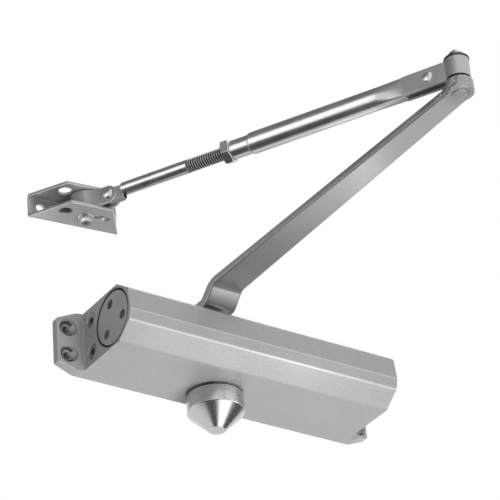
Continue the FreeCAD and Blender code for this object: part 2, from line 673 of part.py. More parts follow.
def adjusting_rod():
    """Rod that screws into the forearm; its far end is flattened to an eye for the link's rivet."""
    along = V(1, 0, 0)
    half = TONGUE / 2
    round_end = TONGUE_X - 6
    shank = rod(ROD_R, round_end - ROD_START, V(ROD_START, 0, FOREARM_Z), along)
    circle = Part.Wire(Part.makeCircle(ROD_R, V(round_end, 0, FOREARM_Z), along))
    flat = outline(rectangle(half, EYE_R, 1, (0, SHOE_Z)), lambda p: V(TONGUE_X, p.x, p.y))
    eye = rod(EYE_R, TONGUE, V(LINK_X, -half, SHOE_Z), V(0, 1, 0))
    blade = Part.makeBox(LINK_X - TONGUE_X, TONGUE, 2 * EYE_R, V(TONGUE_X, -half, SHOE_Z - EYE_R))
    solid = shank.fuse([Part.makeLoft([circle, flat], True), eye, blade])
    solid = solid.cut(rod(LINK_RIVET_R + RUNNING, 20, V(LINK_X, -10, SHOE_Z), V(0, 1, 0)))
    return placed(solid.removeSplitter(), ELBOW_X, ELBOW_Y, FOREARM_TURN)


def lock_nut():
    along = V(1, 0, 0)
    nut = hexagon(NUT_ACROSS, NUT_LENGTH, V(TUBE_END + 0.1, 0, FOREARM_Z), along, NUT_ACROSS / 2 - 0.2)
    nut = nut.cut(rod(ROD_R + RUNNING, 2 * NUT_LENGTH, V(TUBE_END - 1, 0, FOREARM_Z), along))
    return placed(nut, ELBOW_X, ELBOW_Y, FOREARM_TURN)


# Link between forearm and shoe, drawn along the forearm

LINK_HEIGHT = 11.0
LINK_SHEET = 1.6
LINK_GAP = TONGUE / 2 + 0.15
LINK_OUT = LINK_GAP + LINK_SHEET
LINK_TAPER_X = LINK_X + 6.0
SLEEVE_R = 7.0
LINK_LOOP_R = SLEEVE_R + RUNNING + LINK_SHEET + 0.1


def link_plan(half, loop_r, start):
    """Corners of the link from above: parallel cheeks that widen to a loop round the pivot."""
    wide = loop_r * math.cos(math.radians(25))
    touch = FOREARM_REACH - loop_r * math.sin(math.radians(25))
    return sharp([(start, -half), (LINK_TAPER_X, -half), (touch, -wide), (FOREARM_REACH, -wide),
                  (FOREARM_REACH, wide), (touch, wide), (LINK_TAPER_X, half), (start, half)])


def shoe_link():
    """Strip bent round the shoe's pivot sleeve, its two cheeks closing on the eye of the rod."""
    low = SHOE_Z - LINK_HEIGHT / 2
    high = SHOE_Z + LINK_HEIGHT / 2
    inner_r = SLEEVE_R + RUNNING
    loop = rod(LINK_LOOP_R, LINK_HEIGHT, V(FOREARM_REACH, 0, low))
    cheeks = slab(link_plan(LINK_OUT, LINK_LOOP_R, LINK_X), "XY", low, high)
    ends = rod(LINK_HEIGHT / 2, 2 * LINK_OUT, V(LINK_X, -LINK_OUT, SHOE_Z), V(0, 1, 0))
    split = slab(link_plan(LINK_GAP, inner_r, LINK_X - 20), "XY", low - 1, high + 1)
    solid = loop.fuse([cheeks, ends]).cut(split)
    solid = solid.cut(rod(inner_r, LINK_HEIGHT + 2, V(FOREARM_REACH, 0, low - 1)))
    solid = solid.cut(rod(LINK_RIVET_R, 30, V(LINK_X, -15, SHOE_Z), V(0, 1, 0)))
    return placed(solid.removeSplitter(), ELBOW_X, ELBOW_Y, FOREARM_TURN)


def link_rivet():
    solid = rivet(2 * LINK_OUT, LINK_RIVET_R, 3.5, 2.0)
    solid.Placement = FreeCAD.Placement(V(LINK_X, LINK_OUT, SHOE_Z), FreeCAD.Rotation(UP, V(0, -1, 0)))
    return placed(solid, ELBOW_X, ELBOW_Y, FOREARM_TURN)


PIVOT_X = ELBOW_X + FOREARM_REACH * math.cos(math.radians(FOREARM_TURN))
PIVOT_Y = ELBOW_Y + FOREARM_REACH * math.sin(math.radians(FOREARM_TURN))


# Shoe for the door frame, drawn round its pivot with its back towards +Y

SHOE_LEFT = -30.9         # ends of the web, from the pivot
SHOE_RIGHT = 24.9
SHOE_SHEET = 1.8
SHOE_INNER = 11.9
SHOE_BACK = 12.9          # pivot axis to the back face
SHOE_FRONT = 11.6
FRONT_LEFT = -14.2
FRONT_RIGHT = 12.2
UPPER_SHORT = 1.5         # the upper flange ends a little earlier
SHOE_HOLE_R = 2.6
SHOE_HOLE_SPACING = 41.0
FLANGE_HOLE_R = 3.9
FLANGE_HOLE_X = -13.2
FLANGE_HOLE_Y = -1.6
SLOT_X = 9.4
SLOT_HALF = 2.0
SLOT_R = 2.7
PIVOT_SCREW_R = 2.95
PIVOT_WASHER = 1.1


def shoe_bracket():
    """Folded channel: a back web with two screw holes, two sloped flanges that carry the pivot."""
    outer = SHOE_INNER / 2 + SHOE_SHEET
    inner = SHOE_INNER / 2
    fold = 2.4
    tight = fold - SHOE_SHEET
    web = SHOE_BACK - SHOE_SHEET
    open_y = -SHOE_FRONT - 1
    channel = slab([(SHOE_BACK, -outer, fold), (SHOE_BACK, outer, fold), (-SHOE_FRONT, outer, 0),
                    (-SHOE_FRONT, -outer, 0)], "YZ", SHOE_LEFT, SHOE_RIGHT)
    inside = slab([(web, -inner, tight), (web, inner, tight), (open_y, inner, 0), (open_y, -inner, 0)],
                  "YZ", SHOE_LEFT, SHOE_RIGHT)
    shoulder = web - 0.5
    plan = slab([(SHOE_LEFT, SHOE_BACK + 1, 0), (SHOE_RIGHT, SHOE_BACK + 1, 0), (SHOE_RIGHT, shoulder, 1.5),
                 (FRONT_RIGHT, -SHOE_FRONT, 3.0), (FRONT_LEFT, -SHOE_FRONT, 2.0), (SHOE_LEFT, shoulder, 1.5)],
                "XY", -outer, outer)
    solid = channel.cut(inside).common(plan)
    width = SHOE_RIGHT - SHOE_LEFT
    solid = solid.cut(Part.makeBox(width, UPPER_SHORT, outer, V(SHOE_LEFT, -SHOE_FRONT, 0)))
    for side in (-1, 1):
        screw = V((SHOE_LEFT + SHOE_RIGHT + side * SHOE_HOLE_SPACING) / 2, SHOE_BACK - 10, 0)
        solid = solid.cut(rod(SHOE_HOLE_R, 20, screw, V(0, 1, 0)))
    slot = rectangle(SLOT_HALF + SLOT_R, SLOT_R, SLOT_R - 0.01, (SLOT_X, FLANGE_HOLE_Y))
    solid = solid.cut(slab(slot, "XY", -20, 20))
    solid = solid.cut(rod(FLANGE_HOLE_R, 40, V(FLANGE_HOLE_X, FLANGE_HOLE_Y, -20)))
    solid = solid.cut(rod(PIVOT_SCREW_R + 0.1, 40, V(0, 0, -20)))
    return solid.removeSplitter()


def pivot_sleeve():
    return ring(SLEEVE_R, PIVOT_SCREW_R + 0.1, SHOE_INNER, V(0, 0, -SHOE_INNER / 2))


def pivot_washer():
    outer = SHOE_INNER / 2 + SHOE_SHEET
    bore_r = PIVOT_SCREW_R + 0.1
    profile = [(bore_r, 0), (4.7, 0), (4.7, 0.6), (4.2, PIVOT_WASHER), (bore_r, PIVOT_WASHER)]
    return turned(profile, V(0, 0, -outer), V(0, 0, -1))


def pivot_screw():
    """Cross-recessed screw from below, its thread ending in the nut above."""
    outer = SHOE_INNER / 2 + SHOE_SHEET
    seat = outer + PIVOT_WASHER
    profile = [(0, -outer - 4.0), (PIVOT_SCREW_R, -outer - 4.2), (3.6, -seat - 1.4), (3.6, -seat),
               (PIVOT_SCREW_R, -seat), (PIVOT_SCREW_R, outer + 4.6), (0, outer + 4.6)]
    screw = turned(profile)
    for turn in (0, 90):
        slot = Part.makeBox(3.6, 0.9, 2.2, V(-1.8, -0.45, -outer - 4.6))
        slot.Placement = FreeCAD.Placement(V(), FreeCAD.Rotation(UP, 45 + turn))
        screw = screw.cut(slot)
    return screw


def pivot_nut():
    outer = SHOE_INNER / 2 + SHOE_SHEET
    nut = hexagon(9.0, 4.0, V(0, 0, outer), UP, 4.4)
    return nut.cut(rod(PIVOT_SCREW_R + 0.03, 20, V(0, 0, 0)))


def at_shoe(shape):
    shape.Placement = FreeCAD.Placement(V(0, 0, SHOE_Z), FreeCAD.Rotation()).multiply(shape.Placement)
    return placed(shape, PIVOT_X, PIVOT_Y, SHOE_TURN)


# All pieces by name

PIECES = {
    "closer_body": closer_body(),
    "left_end_plug": end_plug(-1, 8.0, 0.0),
    "right_end_plug": end_plug(1, SPRING_R - WIRE_R - 0.6, 9.0),
    "left_plug_seal": plug_seal(-1),
    "right_plug_seal": plug_seal(1),
    "closing_valve": valve(1),
    "latching_valve": valve(-1),
    "closing_valve_seal": valve_seal(1),
    "latching_valve_seal": valve_seal(-1),
    "piston": piston(),
    "check_valve_seat": check_valve_seat(),
    "check_ball": check_ball(),
    "return_spring": return_spring(),
    "pinion_shaft": pinion_shaft(),
    "upper_bearing_nut": bearing_nut(1),
    "lower_bearing_nut": bearing_nut(-1),
    "upper_bearing": bearing(1),
    "lower_bearing": bearing(-1),
    "upper_shaft_seal": shaft_seal(1),
    "lower_shaft_seal": shaft_seal(-1),
    "spindle_cap": spindle_cap(),
    "main_lever": main_lever(),
    "lever_washer": lever_washer(),
    "lever_screw": lever_screw(),
    "elbow_pin": elbow_pin(),
    "lower_elbow_washer": elbow_washer(LEVER_Z + LEVER_THICKNESS + ELBOW_BOSS, 6.2),
    "upper_elbow_washer": elbow_washer(FOREARM_Z + STRAP_HEIGHT / 2 + 0.1, 7.2),
    "forearm_tube": forearm_tube(),
    "elbow_bush": elbow_bush(),
    "strap_rivet": strap_rivet(),
    "adjusting_rod": adjusting_rod(),
    "lock_nut": lock_nut(),
    "shoe_link": shoe_link(),
    "link_rivet": link_rivet(),
    "shoe_bracket": at_shoe(shoe_bracket()),
    "pivot_sleeve": at_shoe(pivot_sleeve()),
    "pivot_washer": at_shoe(pivot_washer()),
    "pivot_screw": at_shoe(pivot_screw()),
    "pivot_nut": at_shoe(pivot_nut()),
}

os.makedirs("parts", exist_ok=True)
for name, shape in PIECES.items():
    box = shape.BoundBox
    print(f"{name:22s} valid {shape.isValid()} solids {len(shape.Solids)}  {shape.Volume / 1000:8.2f} cm3"
          f"  {box.XLength:6.1f} x {box.YLength:6.1f} x {box.ZLength:6.1f} mm")
    shape.exportStep(f"parts/{name}.step")
print("elbow", ELBOW_X, ELBOW_Y, "pivot", PIVOT_X, PIVOT_Y, "travel", TRAVEL)
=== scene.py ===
# %% [markdown]
# # Hydraulic door closer
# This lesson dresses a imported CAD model: a closer body with its end plugs and cone cap, a cranked lever,
# a formed forearm with a threaded rod, and the small folded shoe that is screwed to the door frame.
# The CAD solids already have the right sizes. Here they get rounded edges, a real screw thread, paint and
# plating, light, and a camera that stands where the photographer stood. Lengths are in metres unless a name
# or comment says millimetres.

# %% Load the frame
import json
import math
import bmesh
import bpy
from mathutils import Matrix, Vector
from mathutils.noise import noise as noise_at


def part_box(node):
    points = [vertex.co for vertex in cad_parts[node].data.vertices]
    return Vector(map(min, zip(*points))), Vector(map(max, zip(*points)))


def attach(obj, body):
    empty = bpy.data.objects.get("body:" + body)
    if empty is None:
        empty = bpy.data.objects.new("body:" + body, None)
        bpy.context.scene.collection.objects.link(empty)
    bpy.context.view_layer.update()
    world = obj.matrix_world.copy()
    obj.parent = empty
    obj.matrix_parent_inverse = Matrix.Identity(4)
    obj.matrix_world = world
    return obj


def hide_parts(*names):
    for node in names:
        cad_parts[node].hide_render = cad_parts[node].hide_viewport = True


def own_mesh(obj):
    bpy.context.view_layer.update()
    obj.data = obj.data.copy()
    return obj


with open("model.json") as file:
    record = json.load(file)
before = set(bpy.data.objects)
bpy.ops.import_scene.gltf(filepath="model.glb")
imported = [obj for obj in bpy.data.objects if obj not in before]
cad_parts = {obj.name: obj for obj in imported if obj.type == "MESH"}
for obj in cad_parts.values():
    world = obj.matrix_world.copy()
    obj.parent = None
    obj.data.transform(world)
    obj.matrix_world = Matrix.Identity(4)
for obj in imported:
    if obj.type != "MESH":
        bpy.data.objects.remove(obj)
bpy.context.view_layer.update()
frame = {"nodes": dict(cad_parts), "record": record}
scene = bpy.context.scene
scene.view_settings.view_transform = "Standard"
RECORD = frame["record"]
JOINTS = {joint["name"]: joint for joint in RECORD["behaviour"]["joints"]}
BODY_OF = {node: body for body, nodes in RECORD["behaviour"]["bodies"].items() for node in nodes}
SLOT_OF = {part["node"]: part["material_slot"] for part in RECORD["subparts"]}

# %% [markdown]
# ## Camera
# The edges of the body, the plug's circle and the arm's lines were matched to a perspective camera, which
# gives its place, its turn and a long lens. A long lens keeps the two ends of the closer nearly equal in size.

# %% Camera
CAMERA_PLACE = (-0.82858, -1.20622, -0.80083)
CAMERA_TURN = (121.4797, 3.8085, -33.3104)        # degrees
LENS_MM = 198.08
SENSOR_MM = 36

lens = bpy.data.cameras.new("product_camera")
lens.sensor_width = SENSOR_MM
lens.lens = LENS_MM
camera = bpy.data.objects.new("product_camera", lens)
camera.location = CAMERA_PLACE
camera.rotation_euler = [math.radians(angle) for angle in CAMERA_TURN]
scene.collection.objects.link(camera)
scene.camera = camera
print("camera at", CAMERA_PLACE, "lens", round(lens.lens))

# %% [markdown]
# ## Studio
# The closer hangs in front of a white background and is seen from below. The world is white where the
# camera or a mirror-like surface looks at it, and a dimmer grey where it only lights the paint.
# One large softbox stands low on the right and makes the bright slope under the front edge. Its own mirror
# image would glare, so mirror-like surfaces do not see it. A tall softbox on the left draws the white streak
# along the forearm's tube, and a weak one lights the closer from above.

# %% World
AMBIENT_LIGHT = 0.28


def calculate(tree, operation, first, second):
    """Math node on sockets or numbers; returns the output socket."""
    node = tree.nodes.new("ShaderNodeMath")
    node.operation = operation
    for socket, value in zip(node.inputs, (first, second)):
        if hasattr(value, "default_value"):
            tree.links.new(value, socket)
        else:
            socket.default_value = value
    return node.outputs[0]


def mix_shaders(tree, share, first, second, output):
    """Sends two shaders to the output node: the first where the share is 0, the second where it is 1."""
    mix = tree.nodes.new("ShaderNodeMixShader")
    tree.links.new(share, mix.inputs[0])
    tree.links.new(first.outputs[0], mix.inputs[1])
    tree.links.new(second.outputs[0], mix.inputs[2])
    tree.links.new(mix.outputs[0], tree.nodes[output].inputs["Surface"])


world = bpy.data.worlds.new("studio_white")
world.use_nodes = True
scene.world = world
sky = world.node_tree
white = sky.nodes["Background"]
ambient = sky.nodes.new("ShaderNodeBackground")
for background, strength in ((white, 1.0), (ambient, AMBIENT_LIGHT)):
    background.inputs["Color"].default_value = (1, 1, 1, 1)
    background.inputs["Strength"].default_value = strength
path = sky.nodes.new("ShaderNodeLightPath")
seen = calculate(sky, "MAXIMUM", path.outputs["Is Camera Ray"], path.outputs["Is Transmission Ray"])
mirrored = calculate(sky, "MAXIMUM", seen, path.outputs["Is Glossy Ray"])
mix_shaders(sky, mirrored, ambient, white, "World Output")
print("world: white when seen,", AMBIENT_LIGHT, "as light")

# %% Lamps
MIDDLE = Vector((-0.02, -0.12, 0.02))
KEY_PLACE = (0.46, -1.12, -1.644)
KEY_SIZE = (1.5, 1.1)
KEY_WATTS = 40
LEFT_PLACE = (-1.25, -0.26, 0.02)
LEFT_SIZE = (0.6, 1.25)
LEFT_WATTS = 2.2
TOP_PLACE = (0.4, -0.2, 1.5)
TOP_SIZE = (1.0, 1.0)
TOP_WATTS = 6


def softbox(name, place, size, power):
    """Area lamp at place, turned to the middle of the closer."""
    data = bpy.data.lights.new(name, "AREA")
    data.shape = "RECTANGLE"
    data.size, data.size_y = size
    data.energy = power
    lamp = bpy.data.objects.new(name, data)
    lamp.location = place
    lamp.rotation_euler = (MIDDLE - Vector(place)).to_track_quat("-Z", "Y").to_euler()
    scene.collection.objects.link(lamp)
    return lamp


key_lamp = softbox("low_front_softbox", KEY_PLACE, KEY_SIZE, KEY_WATTS)
key_lamp.visible_glossy = False
softbox("left_softbox", LEFT_PLACE, LEFT_SIZE, LEFT_WATTS)
softbox("top_softbox", TOP_PLACE, TOP_SIZE, TOP_WATTS)

# %% [markdown]
# ## Floor
# The floor is a plain pale sheet far below. It glows a little for the camera and for mirror-like surfaces, so
# that it looks nearly as white as the background, and it still keeps the closer's shadow.

# %% Floor
FLOOR_PLACE = Vector((0, -0.2, -2.2))
FLOOR_WIDTH = 40
FLOOR_GLOW = 0.9
SEEN_SHARE = 0.8        # share of the glow in what the camera sees
UP = Vector((0, 0, 1))


def flat_card(name, place, facing, width, height):
    """Rectangle with its face towards a point."""
    mesh = bpy.data.meshes.new(name)
    half_w = width / 2
    half_h = height / 2
    corners = [(-half_w, -half_h, 0), (half_w, -half_h, 0), (half_w, half_h, 0), (-half_w, half_h, 0)]
    mesh.from_pydata(corners, [], [(0, 1, 2, 3)])
    card = bpy.data.objects.new(name, mesh)
    card.location = place
    card.rotation_euler = (Vector(facing) - Vector(place)).to_track_quat("Z", "Y").to_euler()
    scene.collection.objects.link(card)
    return card


def plain_material(name, colour, roughness):
    """Principled material of one colour and one roughness."""
    material = bpy.data.materials.new(name)
    material.use_nodes = True
    shader = material.node_tree.nodes["Principled BSDF"]
    shader.inputs["Base Color"].default_value = (*colour, 1)
    shader.inputs["Roughness"].default_value = roughness
    return material


pale = plain_material("pale_floor", (0.85, 0.85, 0.85), 0.9)
sheet = pale.node_tree
path = sheet.nodes.new("ShaderNodeLightPath")
glow = sheet.nodes.new("ShaderNodeEmission")
glow.inputs["Strength"].default_value = FLOOR_GLOW
seen = calculate(sheet, "MULTIPLY", path.outputs["Is Camera Ray"], SEEN_SHARE)
lit = calculate(sheet, "MAXIMUM", seen, path.outputs["Is Glossy Ray"])
mix_shaders(sheet, lit, sheet.nodes["Principled BSDF"], glow, "Material Output")
floor = flat_card("studio_floor", FLOOR_PLACE, FLOOR_PLACE + UP, FLOOR_WIDTH, FLOOR_WIDTH)
floor.data.materials.append(pale)
print("floor at", round(floor.location.z, 2))

# %% [markdown]
# ## Cards
# Bright metal shows nothing but its surroundings, so a photographer hangs grey and black card near it, out
# of the picture, to draw its dark bands. The cards are seen in mirror-like surfaces only. Two are set by
# their angle about the forearm's tube. The face of the low softbox is a card too, so that its mirror image
# is white without being glaring. Two dark flags shade the sides of the cone cap, and a small white card
# lights the lever's crank.

# %% Cards along the tube
ELBOW = Vector(JOINTS["elbow_fold"]["pos_m"])
ALONG = Vector(JOINTS["rod_adjust"]["axis"])          # from the elbow towards the shoe
SIDE = Vector((-ALONG.y, ALONG.x, 0))                 # level, towards the left of the picture
TUBE_MIDDLE = ELBOW + ALONG * 0.116
AIM_ACROSS = 0.927        # the tube is seen at a slant, so what it mirrors lies at a slant too
AIM_ALONG = 0.374
TUBE_CARDS = [            # name, angle, distance, length, width, level
    ("low_black_card", -70, 0.16, 0.23, 0.25, 0.08),
    ("high_grey_card", 72, 0.60, 1.30, 0.80, 0.18),
]


def only_mirrored(card, level):
    """Card of an even tone that shows in mirror-like surfaces and nowhere else."""
    shade = plain_material(card.name + "_shade", (0, 0, 0), 1.0)
    shader = shade.node_tree.nodes["Principled BSDF"]
    shader.inputs["Specular IOR Level"].default_value = 0
    shader.inputs["Emission Color"].default_value = (level, level, level, 1)
    shader.inputs["Emission Strength"].default_value = 1
    card.data.materials.append(shade)
    card.visible_camera = False
    card.visible_diffuse = False
    card.visible_shadow = False
    return card


def tube_card(name, angle, distance, length, width, level):
    """Card that the tube mirrors: angle in degrees above level, as seen along the tube."""
    turn = math.radians(angle)
    aim = AIM_ACROSS * (math.cos(turn) * SIDE + math.sin(turn) * UP) + AIM_ALONG * ALONG
    place = TUBE_MIDDLE + aim * distance
    card = flat_card(name, place, TUBE_MIDDLE, width, length)
    tangent = -math.sin(turn) * SIDE + math.cos(turn) * UP
    back = (TUBE_MIDDLE - place).normalized()
    across = tangent.cross(back).normalized()
    card.rotation_euler = Matrix((across, back.cross(across), back)).transposed().to_euler()
    return only_mirrored(card, level)


for settings in TUBE_CARDS:
    card = tube_card(*settings)
    print(card.name, [round(v, 2) for v in card.location])

# %% Other cards
CAP_PLACE = Vector((-0.011, -0.018, -0.035))
CRANK_PLACE = Vector((-0.0107, -0.0349, 0.0400))
HUNG_CARDS = [            # name, place, the point it faces, width, height, level
    ("low_front_face", KEY_PLACE, MIDDLE, *KEY_SIZE, 2.2),
    ("back_left_card", (-0.67, 0.78, 0.70), MIDDLE, 1.3, 1.3, 0.5),
    ("cap_left_flag", CAP_PLACE + 0.6 * Vector((-0.41, -0.25, -0.877)), CAP_PLACE, 0.38, 0.5, 0.08),
    ("cap_right_flag", CAP_PLACE + Vector((0.82, -0.25, -0.500)), CAP_PLACE, 1.1, 0.64, 0.08),
    ("crank_card", CRANK_PLACE + 0.12 * Vector((0.514, -0.517, -0.673)), CRANK_PLACE, 0.05, 0.05, 2.8),
]
for *settings, level in HUNG_CARDS:
    card = only_mirrored(flat_card(*settings), level)
    print(card.name, [round(v, 2) for v in card.location])

# %% [markdown]
# ## Surface effects shared by several finishes
# Silver paint carries fine metal flakes, plated steel has soft cloudy patches, and turned metal shows the tool's
# rings. Edges get a painted highlight, holes and grooves get painted shade, and the steel round the elbow is
# rougher than the rest; on the forearm it is also darker there, as painted shade. Each effect is a node group, so
# every finish can use it with its own values.

# %% Node group helpers
NOISE_RANGE = (0.3, 0.7)        # nearly all of a noise lies in this range


def effect_group(name, inputs, outputs):
    """Empty shader group with float sockets: inputs are (name, default), outputs are names."""
    group = bpy.data.node_groups.new(name, "ShaderNodeTree")
    for label, default in inputs:
        socket = group.interface.new_socket(label, in_out="INPUT", socket_type="NodeSocketFloat")
        socket.default_value = default
    for label in outputs:
        group.interface.new_socket(label, in_out="OUTPUT", socket_type="NodeSocketFloat")
    entry = group.nodes.new("NodeGroupInput")
    leave = group.nodes.new("NodeGroupOutput")
    return group, entry, leave


def stretch(group, value, low, high, to_low, to_high):
    """Maps a value from one range to another and clamps it; returns the output socket."""
    node = group.nodes.new("ShaderNodeMapRange")
    group.links.new(value, node.inputs["Value"])
    for socket, number in zip(("From Min", "From Max", "To Min", "To Max"), (low, high, to_low, to_high)):
        node.inputs[socket].default_value = number
    return node.outputs["Result"]


def noise(group, scale, detail):
    """Noise in the piece's own coordinates; scale is a number or a socket."""
    place = group.nodes.new("ShaderNodeTexCoord")
    node = group.nodes.new("ShaderNodeTexNoise")
    group.links.new(place.outputs["Object"], node.inputs["Vector"])
    node.inputs["Detail"].default_value = detail
    if hasattr(scale, "default_value"):
        group.links.new(scale, node.inputs["Scale"])
    else:
        node.inputs["Scale"].default_value = scale
    return node.outputs["Fac"]


print("helpers for effect groups are ready")

# %% Flakes of metallic paint
FLAKE_SHARE = 0.7        # the rest of the tone comes from the clouds
flakes, flakes_in, flakes_out = effect_group("paint_flakes", [("Flake Scale", 1500), ("Cloud Scale", 40)],
                                             ["Tone", "Height"])
fine = noise(flakes, flakes_in.outputs["Flake Scale"], 2)
cloud = noise(flakes, flakes_in.outputs["Cloud Scale"], 3)
flake_tone = stretch(flakes, fine, *NOISE_RANGE, 0, FLAKE_SHARE)
cloud_tone = stretch(flakes, cloud, *NOISE_RANGE, 0, 1 - FLAKE_SHARE)
flakes.links.new(calculate(flakes, "ADD", flake_tone, cloud_tone), flakes_out.inputs["Tone"])
flakes.links.new(fine, flakes_out.inputs["Height"])
print("group:", flakes.name)

# %% Clouds and fine specks of plated steel
SPECK_SCALE = 2200
plating, plating_in, plating_out = effect_group("plating_clouds", [("Cloud Scale", 90)], ["Tone", "Height"])
soft = noise(plating, plating_in.outputs["Cloud Scale"], 5)
speck = noise(plating, SPECK_SCALE, 1)
plating.links.new(stretch(plating, soft, *NOISE_RANGE, 0, 1), plating_out.inputs["Tone"])
plating.links.new(speck, plating_out.inputs["Height"])
print("group:", plating.name)

# %% Rings left by a turning tool
# The rings follow the distance from the spindle's axis plus the height, so they run round the band, down
# the cone and across the flat tip without a break.
SPINDLE = Vector(JOINTS["arm_swing"]["pos_m"])
rings, rings_in, rings_out = effect_group("turning_rings", [("Rings per Metre", 2600)], ["Tone", "Height"])
ring_place = rings.nodes.new("ShaderNodeTexCoord")
ring_axis = rings.nodes.new("ShaderNodeSeparateXYZ")
rings.links.new(ring_place.outputs["Object"], ring_axis.inputs[0])
off_x = calculate(rings, "SUBTRACT", ring_axis.outputs["X"], SPINDLE.x)
off_y = calculate(rings, "SUBTRACT", ring_axis.outputs["Y"], SPINDLE.y)
square_x = calculate(rings, "MULTIPLY", off_x, off_x)
square_y = calculate(rings, "MULTIPLY", off_y, off_y)
radius = calculate(rings, "SQRT", calculate(rings, "ADD", square_x, square_y), 0)
ring_length = calculate(rings, "ADD", radius, ring_axis.outputs["Z"])
ring_noise = rings.nodes.new("ShaderNodeTexNoise")
ring_noise.noise_dimensions = "1D"
ring_noise.inputs["Scale"].default_value = 1.0
ring_noise.inputs["Detail"].default_value = 2
rings.links.new(calculate(rings, "MULTIPLY", ring_length, rings_in.outputs["Rings per Metre"]),
                ring_noise.inputs["W"])
rings.links.new(stretch(rings, ring_noise.outputs["Fac"], *NOISE_RANGE, 0, 1), rings_out.inputs["Tone"])
rings.links.new(ring_noise.outputs["Fac"], rings_out.inputs["Height"])
print("group:", rings.name)

# %% Painted highlight on edges and painted shade in recesses
# Rounded edges get a painted highlight, broken up by noise, and holes and grooves get painted shade; joint lines
# take the same dark mark. Both are marked on the mesh when it is made, 1 for an edge and -1 for a recess, and this
# group reads the marks.
PAINTED_LIGHT_MARKS = "painted_highlight_and_shade"
LEAST_HIGHLIGHT = 0.7
edges, edges_in, edges_out = effect_group("painted_edge_highlight_and_shade", [("Break Scale", 500)], ["Edge", "Recess Shade"])
mark = edges.nodes.new("ShaderNodeAttribute")
mark.attribute_name = PAINTED_LIGHT_MARKS
broken = stretch(edges, noise(edges, edges_in.outputs["Break Scale"], 2), 0.3, 0.5, LEAST_HIGHLIGHT, 1.0)
on_edge = stretch(edges, mark.outputs["Fac"], 0, 1, 0, 1)
edges.links.new(calculate(edges, "MULTIPLY", on_edge, broken), edges_out.inputs["Edge"])
edges.links.new(stretch(edges, mark.outputs["Fac"], -1, 0, 1, 0), edges_out.inputs["Recess Shade"])
print("group:", edges.name)

# %% Rough zone round the elbow
near, near_in, near_out = effect_group("near_elbow", [("Reach", 0.04), ("Softness", 0.02), ("Lump Scale", 400)],
                                       ["Near", "Height"])
near_place = near.nodes.new("ShaderNodeTexCoord")
away = near.nodes.new("ShaderNodeVectorMath")
away.operation = "DISTANCE"
near.links.new(near_place.outputs["Object"], away.inputs[0])
away.inputs[1].default_value = ELBOW
beyond = calculate(near, "SUBTRACT", away.outputs["Value"], near_in.outputs["Reach"])
faded = calculate(near, "DIVIDE", beyond, near_in.outputs["Softness"])
near_mask = stretch(near, faded, 0, 1, 1, 0)
lumps = noise(near, near_in.outputs["Lump Scale"], 4)
near.links.new(near_mask, near_out.inputs["Near"])
near.links.new(calculate(near, "MULTIPLY", lumps, near_mask), near_out.inputs["Height"])
print("group:", near.name)

# %% [markdown]
# ## Finishes
# Every finish is a Principled shader whose colour moves a little between two tones, so nothing is one flat
# grey. Silver paint is partly metallic and satin, zinc is bright and smooth, the cap is polished.

# %% Finish helpers
RECESS_SHADE_TINT = (0.07, 0.07, 0.07)
RECESS_ROUGHNESS = 0.55


def mixed_colour(tree, share, first, tint):
    """Mix of a colour (a socket or numbers) and a tint, by a share; returns the output socket."""
    mix = tree.nodes.new("ShaderNodeMix")
    mix.data_type = "RGBA"
    mix.inputs["B"].default_value = (*tint, 1)
    if hasattr(first, "default_value"):
        tree.links.new(first, mix.inputs["A"])
    else:
        mix.inputs["A"].default_value = (*first, 1)
    tree.links.new(share, mix.inputs["Factor"])
    return mix.outputs["Result"]


def mixed_number(tree, share, first, number):
    """Mix of a socket's value and a number, by a share; returns the output socket."""
    mix = tree.nodes.new("ShaderNodeMix")
    mix.inputs["B"].default_value = number
    tree.links.new(share, mix.inputs["Factor"])
    tree.links.new(first, mix.inputs["A"])
    return mix.outputs["Result"]


def relief_of(tree, height, bump):
    """Bump node for a height socket; bump is (strength, distance)."""
    node = tree.nodes.new("ShaderNodeBump")
    node.inputs["Strength"].default_value = bump[0]
    node.inputs["Distance"].default_value = bump[1]
    tree.links.new(height, node.inputs["Height"])
    return node


def finish(name, dark, light, metallic, roughness, effect, values, bump, edge_highlight_colour=None):
    """Principled material: tone from an effect group, roughness spread with it, bump, and, with an edge highlight
    colour, painted highlights on edges and painted shade in recesses.
    """
    material = bpy.data.materials.new(name)
    material.use_nodes = True
    tree = material.node_tree
    shader = tree.nodes["Principled BSDF"]
    shader.inputs["Metallic"].default_value = metallic
    pattern = tree.nodes.new("ShaderNodeGroup")
    pattern.node_tree = effect
    for label, number in values.items():
        pattern.inputs[label].default_value = number
    colour = mixed_colour(tree, pattern.outputs["Tone"], dark, light)
    rough = stretch(tree, pattern.outputs["Tone"], 0, 1, *roughness)
    if edge_highlight_colour:
        marks = tree.nodes.new("ShaderNodeGroup")
        marks.node_tree = edges
        colour = mixed_colour(tree, marks.outputs["Edge"], colour, edge_highlight_colour)
        colour = mixed_colour(tree, marks.outputs["Recess Shade"], colour, RECESS_SHADE_TINT)
        rough = mixed_number(tree, marks.outputs["Recess Shade"], rough, RECESS_ROUGHNESS)
    tree.links.new(colour, shader.inputs["Base Color"])
    tree.links.new(rough, shader.inputs["Roughness"])
    relief = relief_of(tree, pattern.outputs["Height"], bump)
    tree.links.new(relief.outputs["Normal"], shader.inputs["Normal"])
    return material


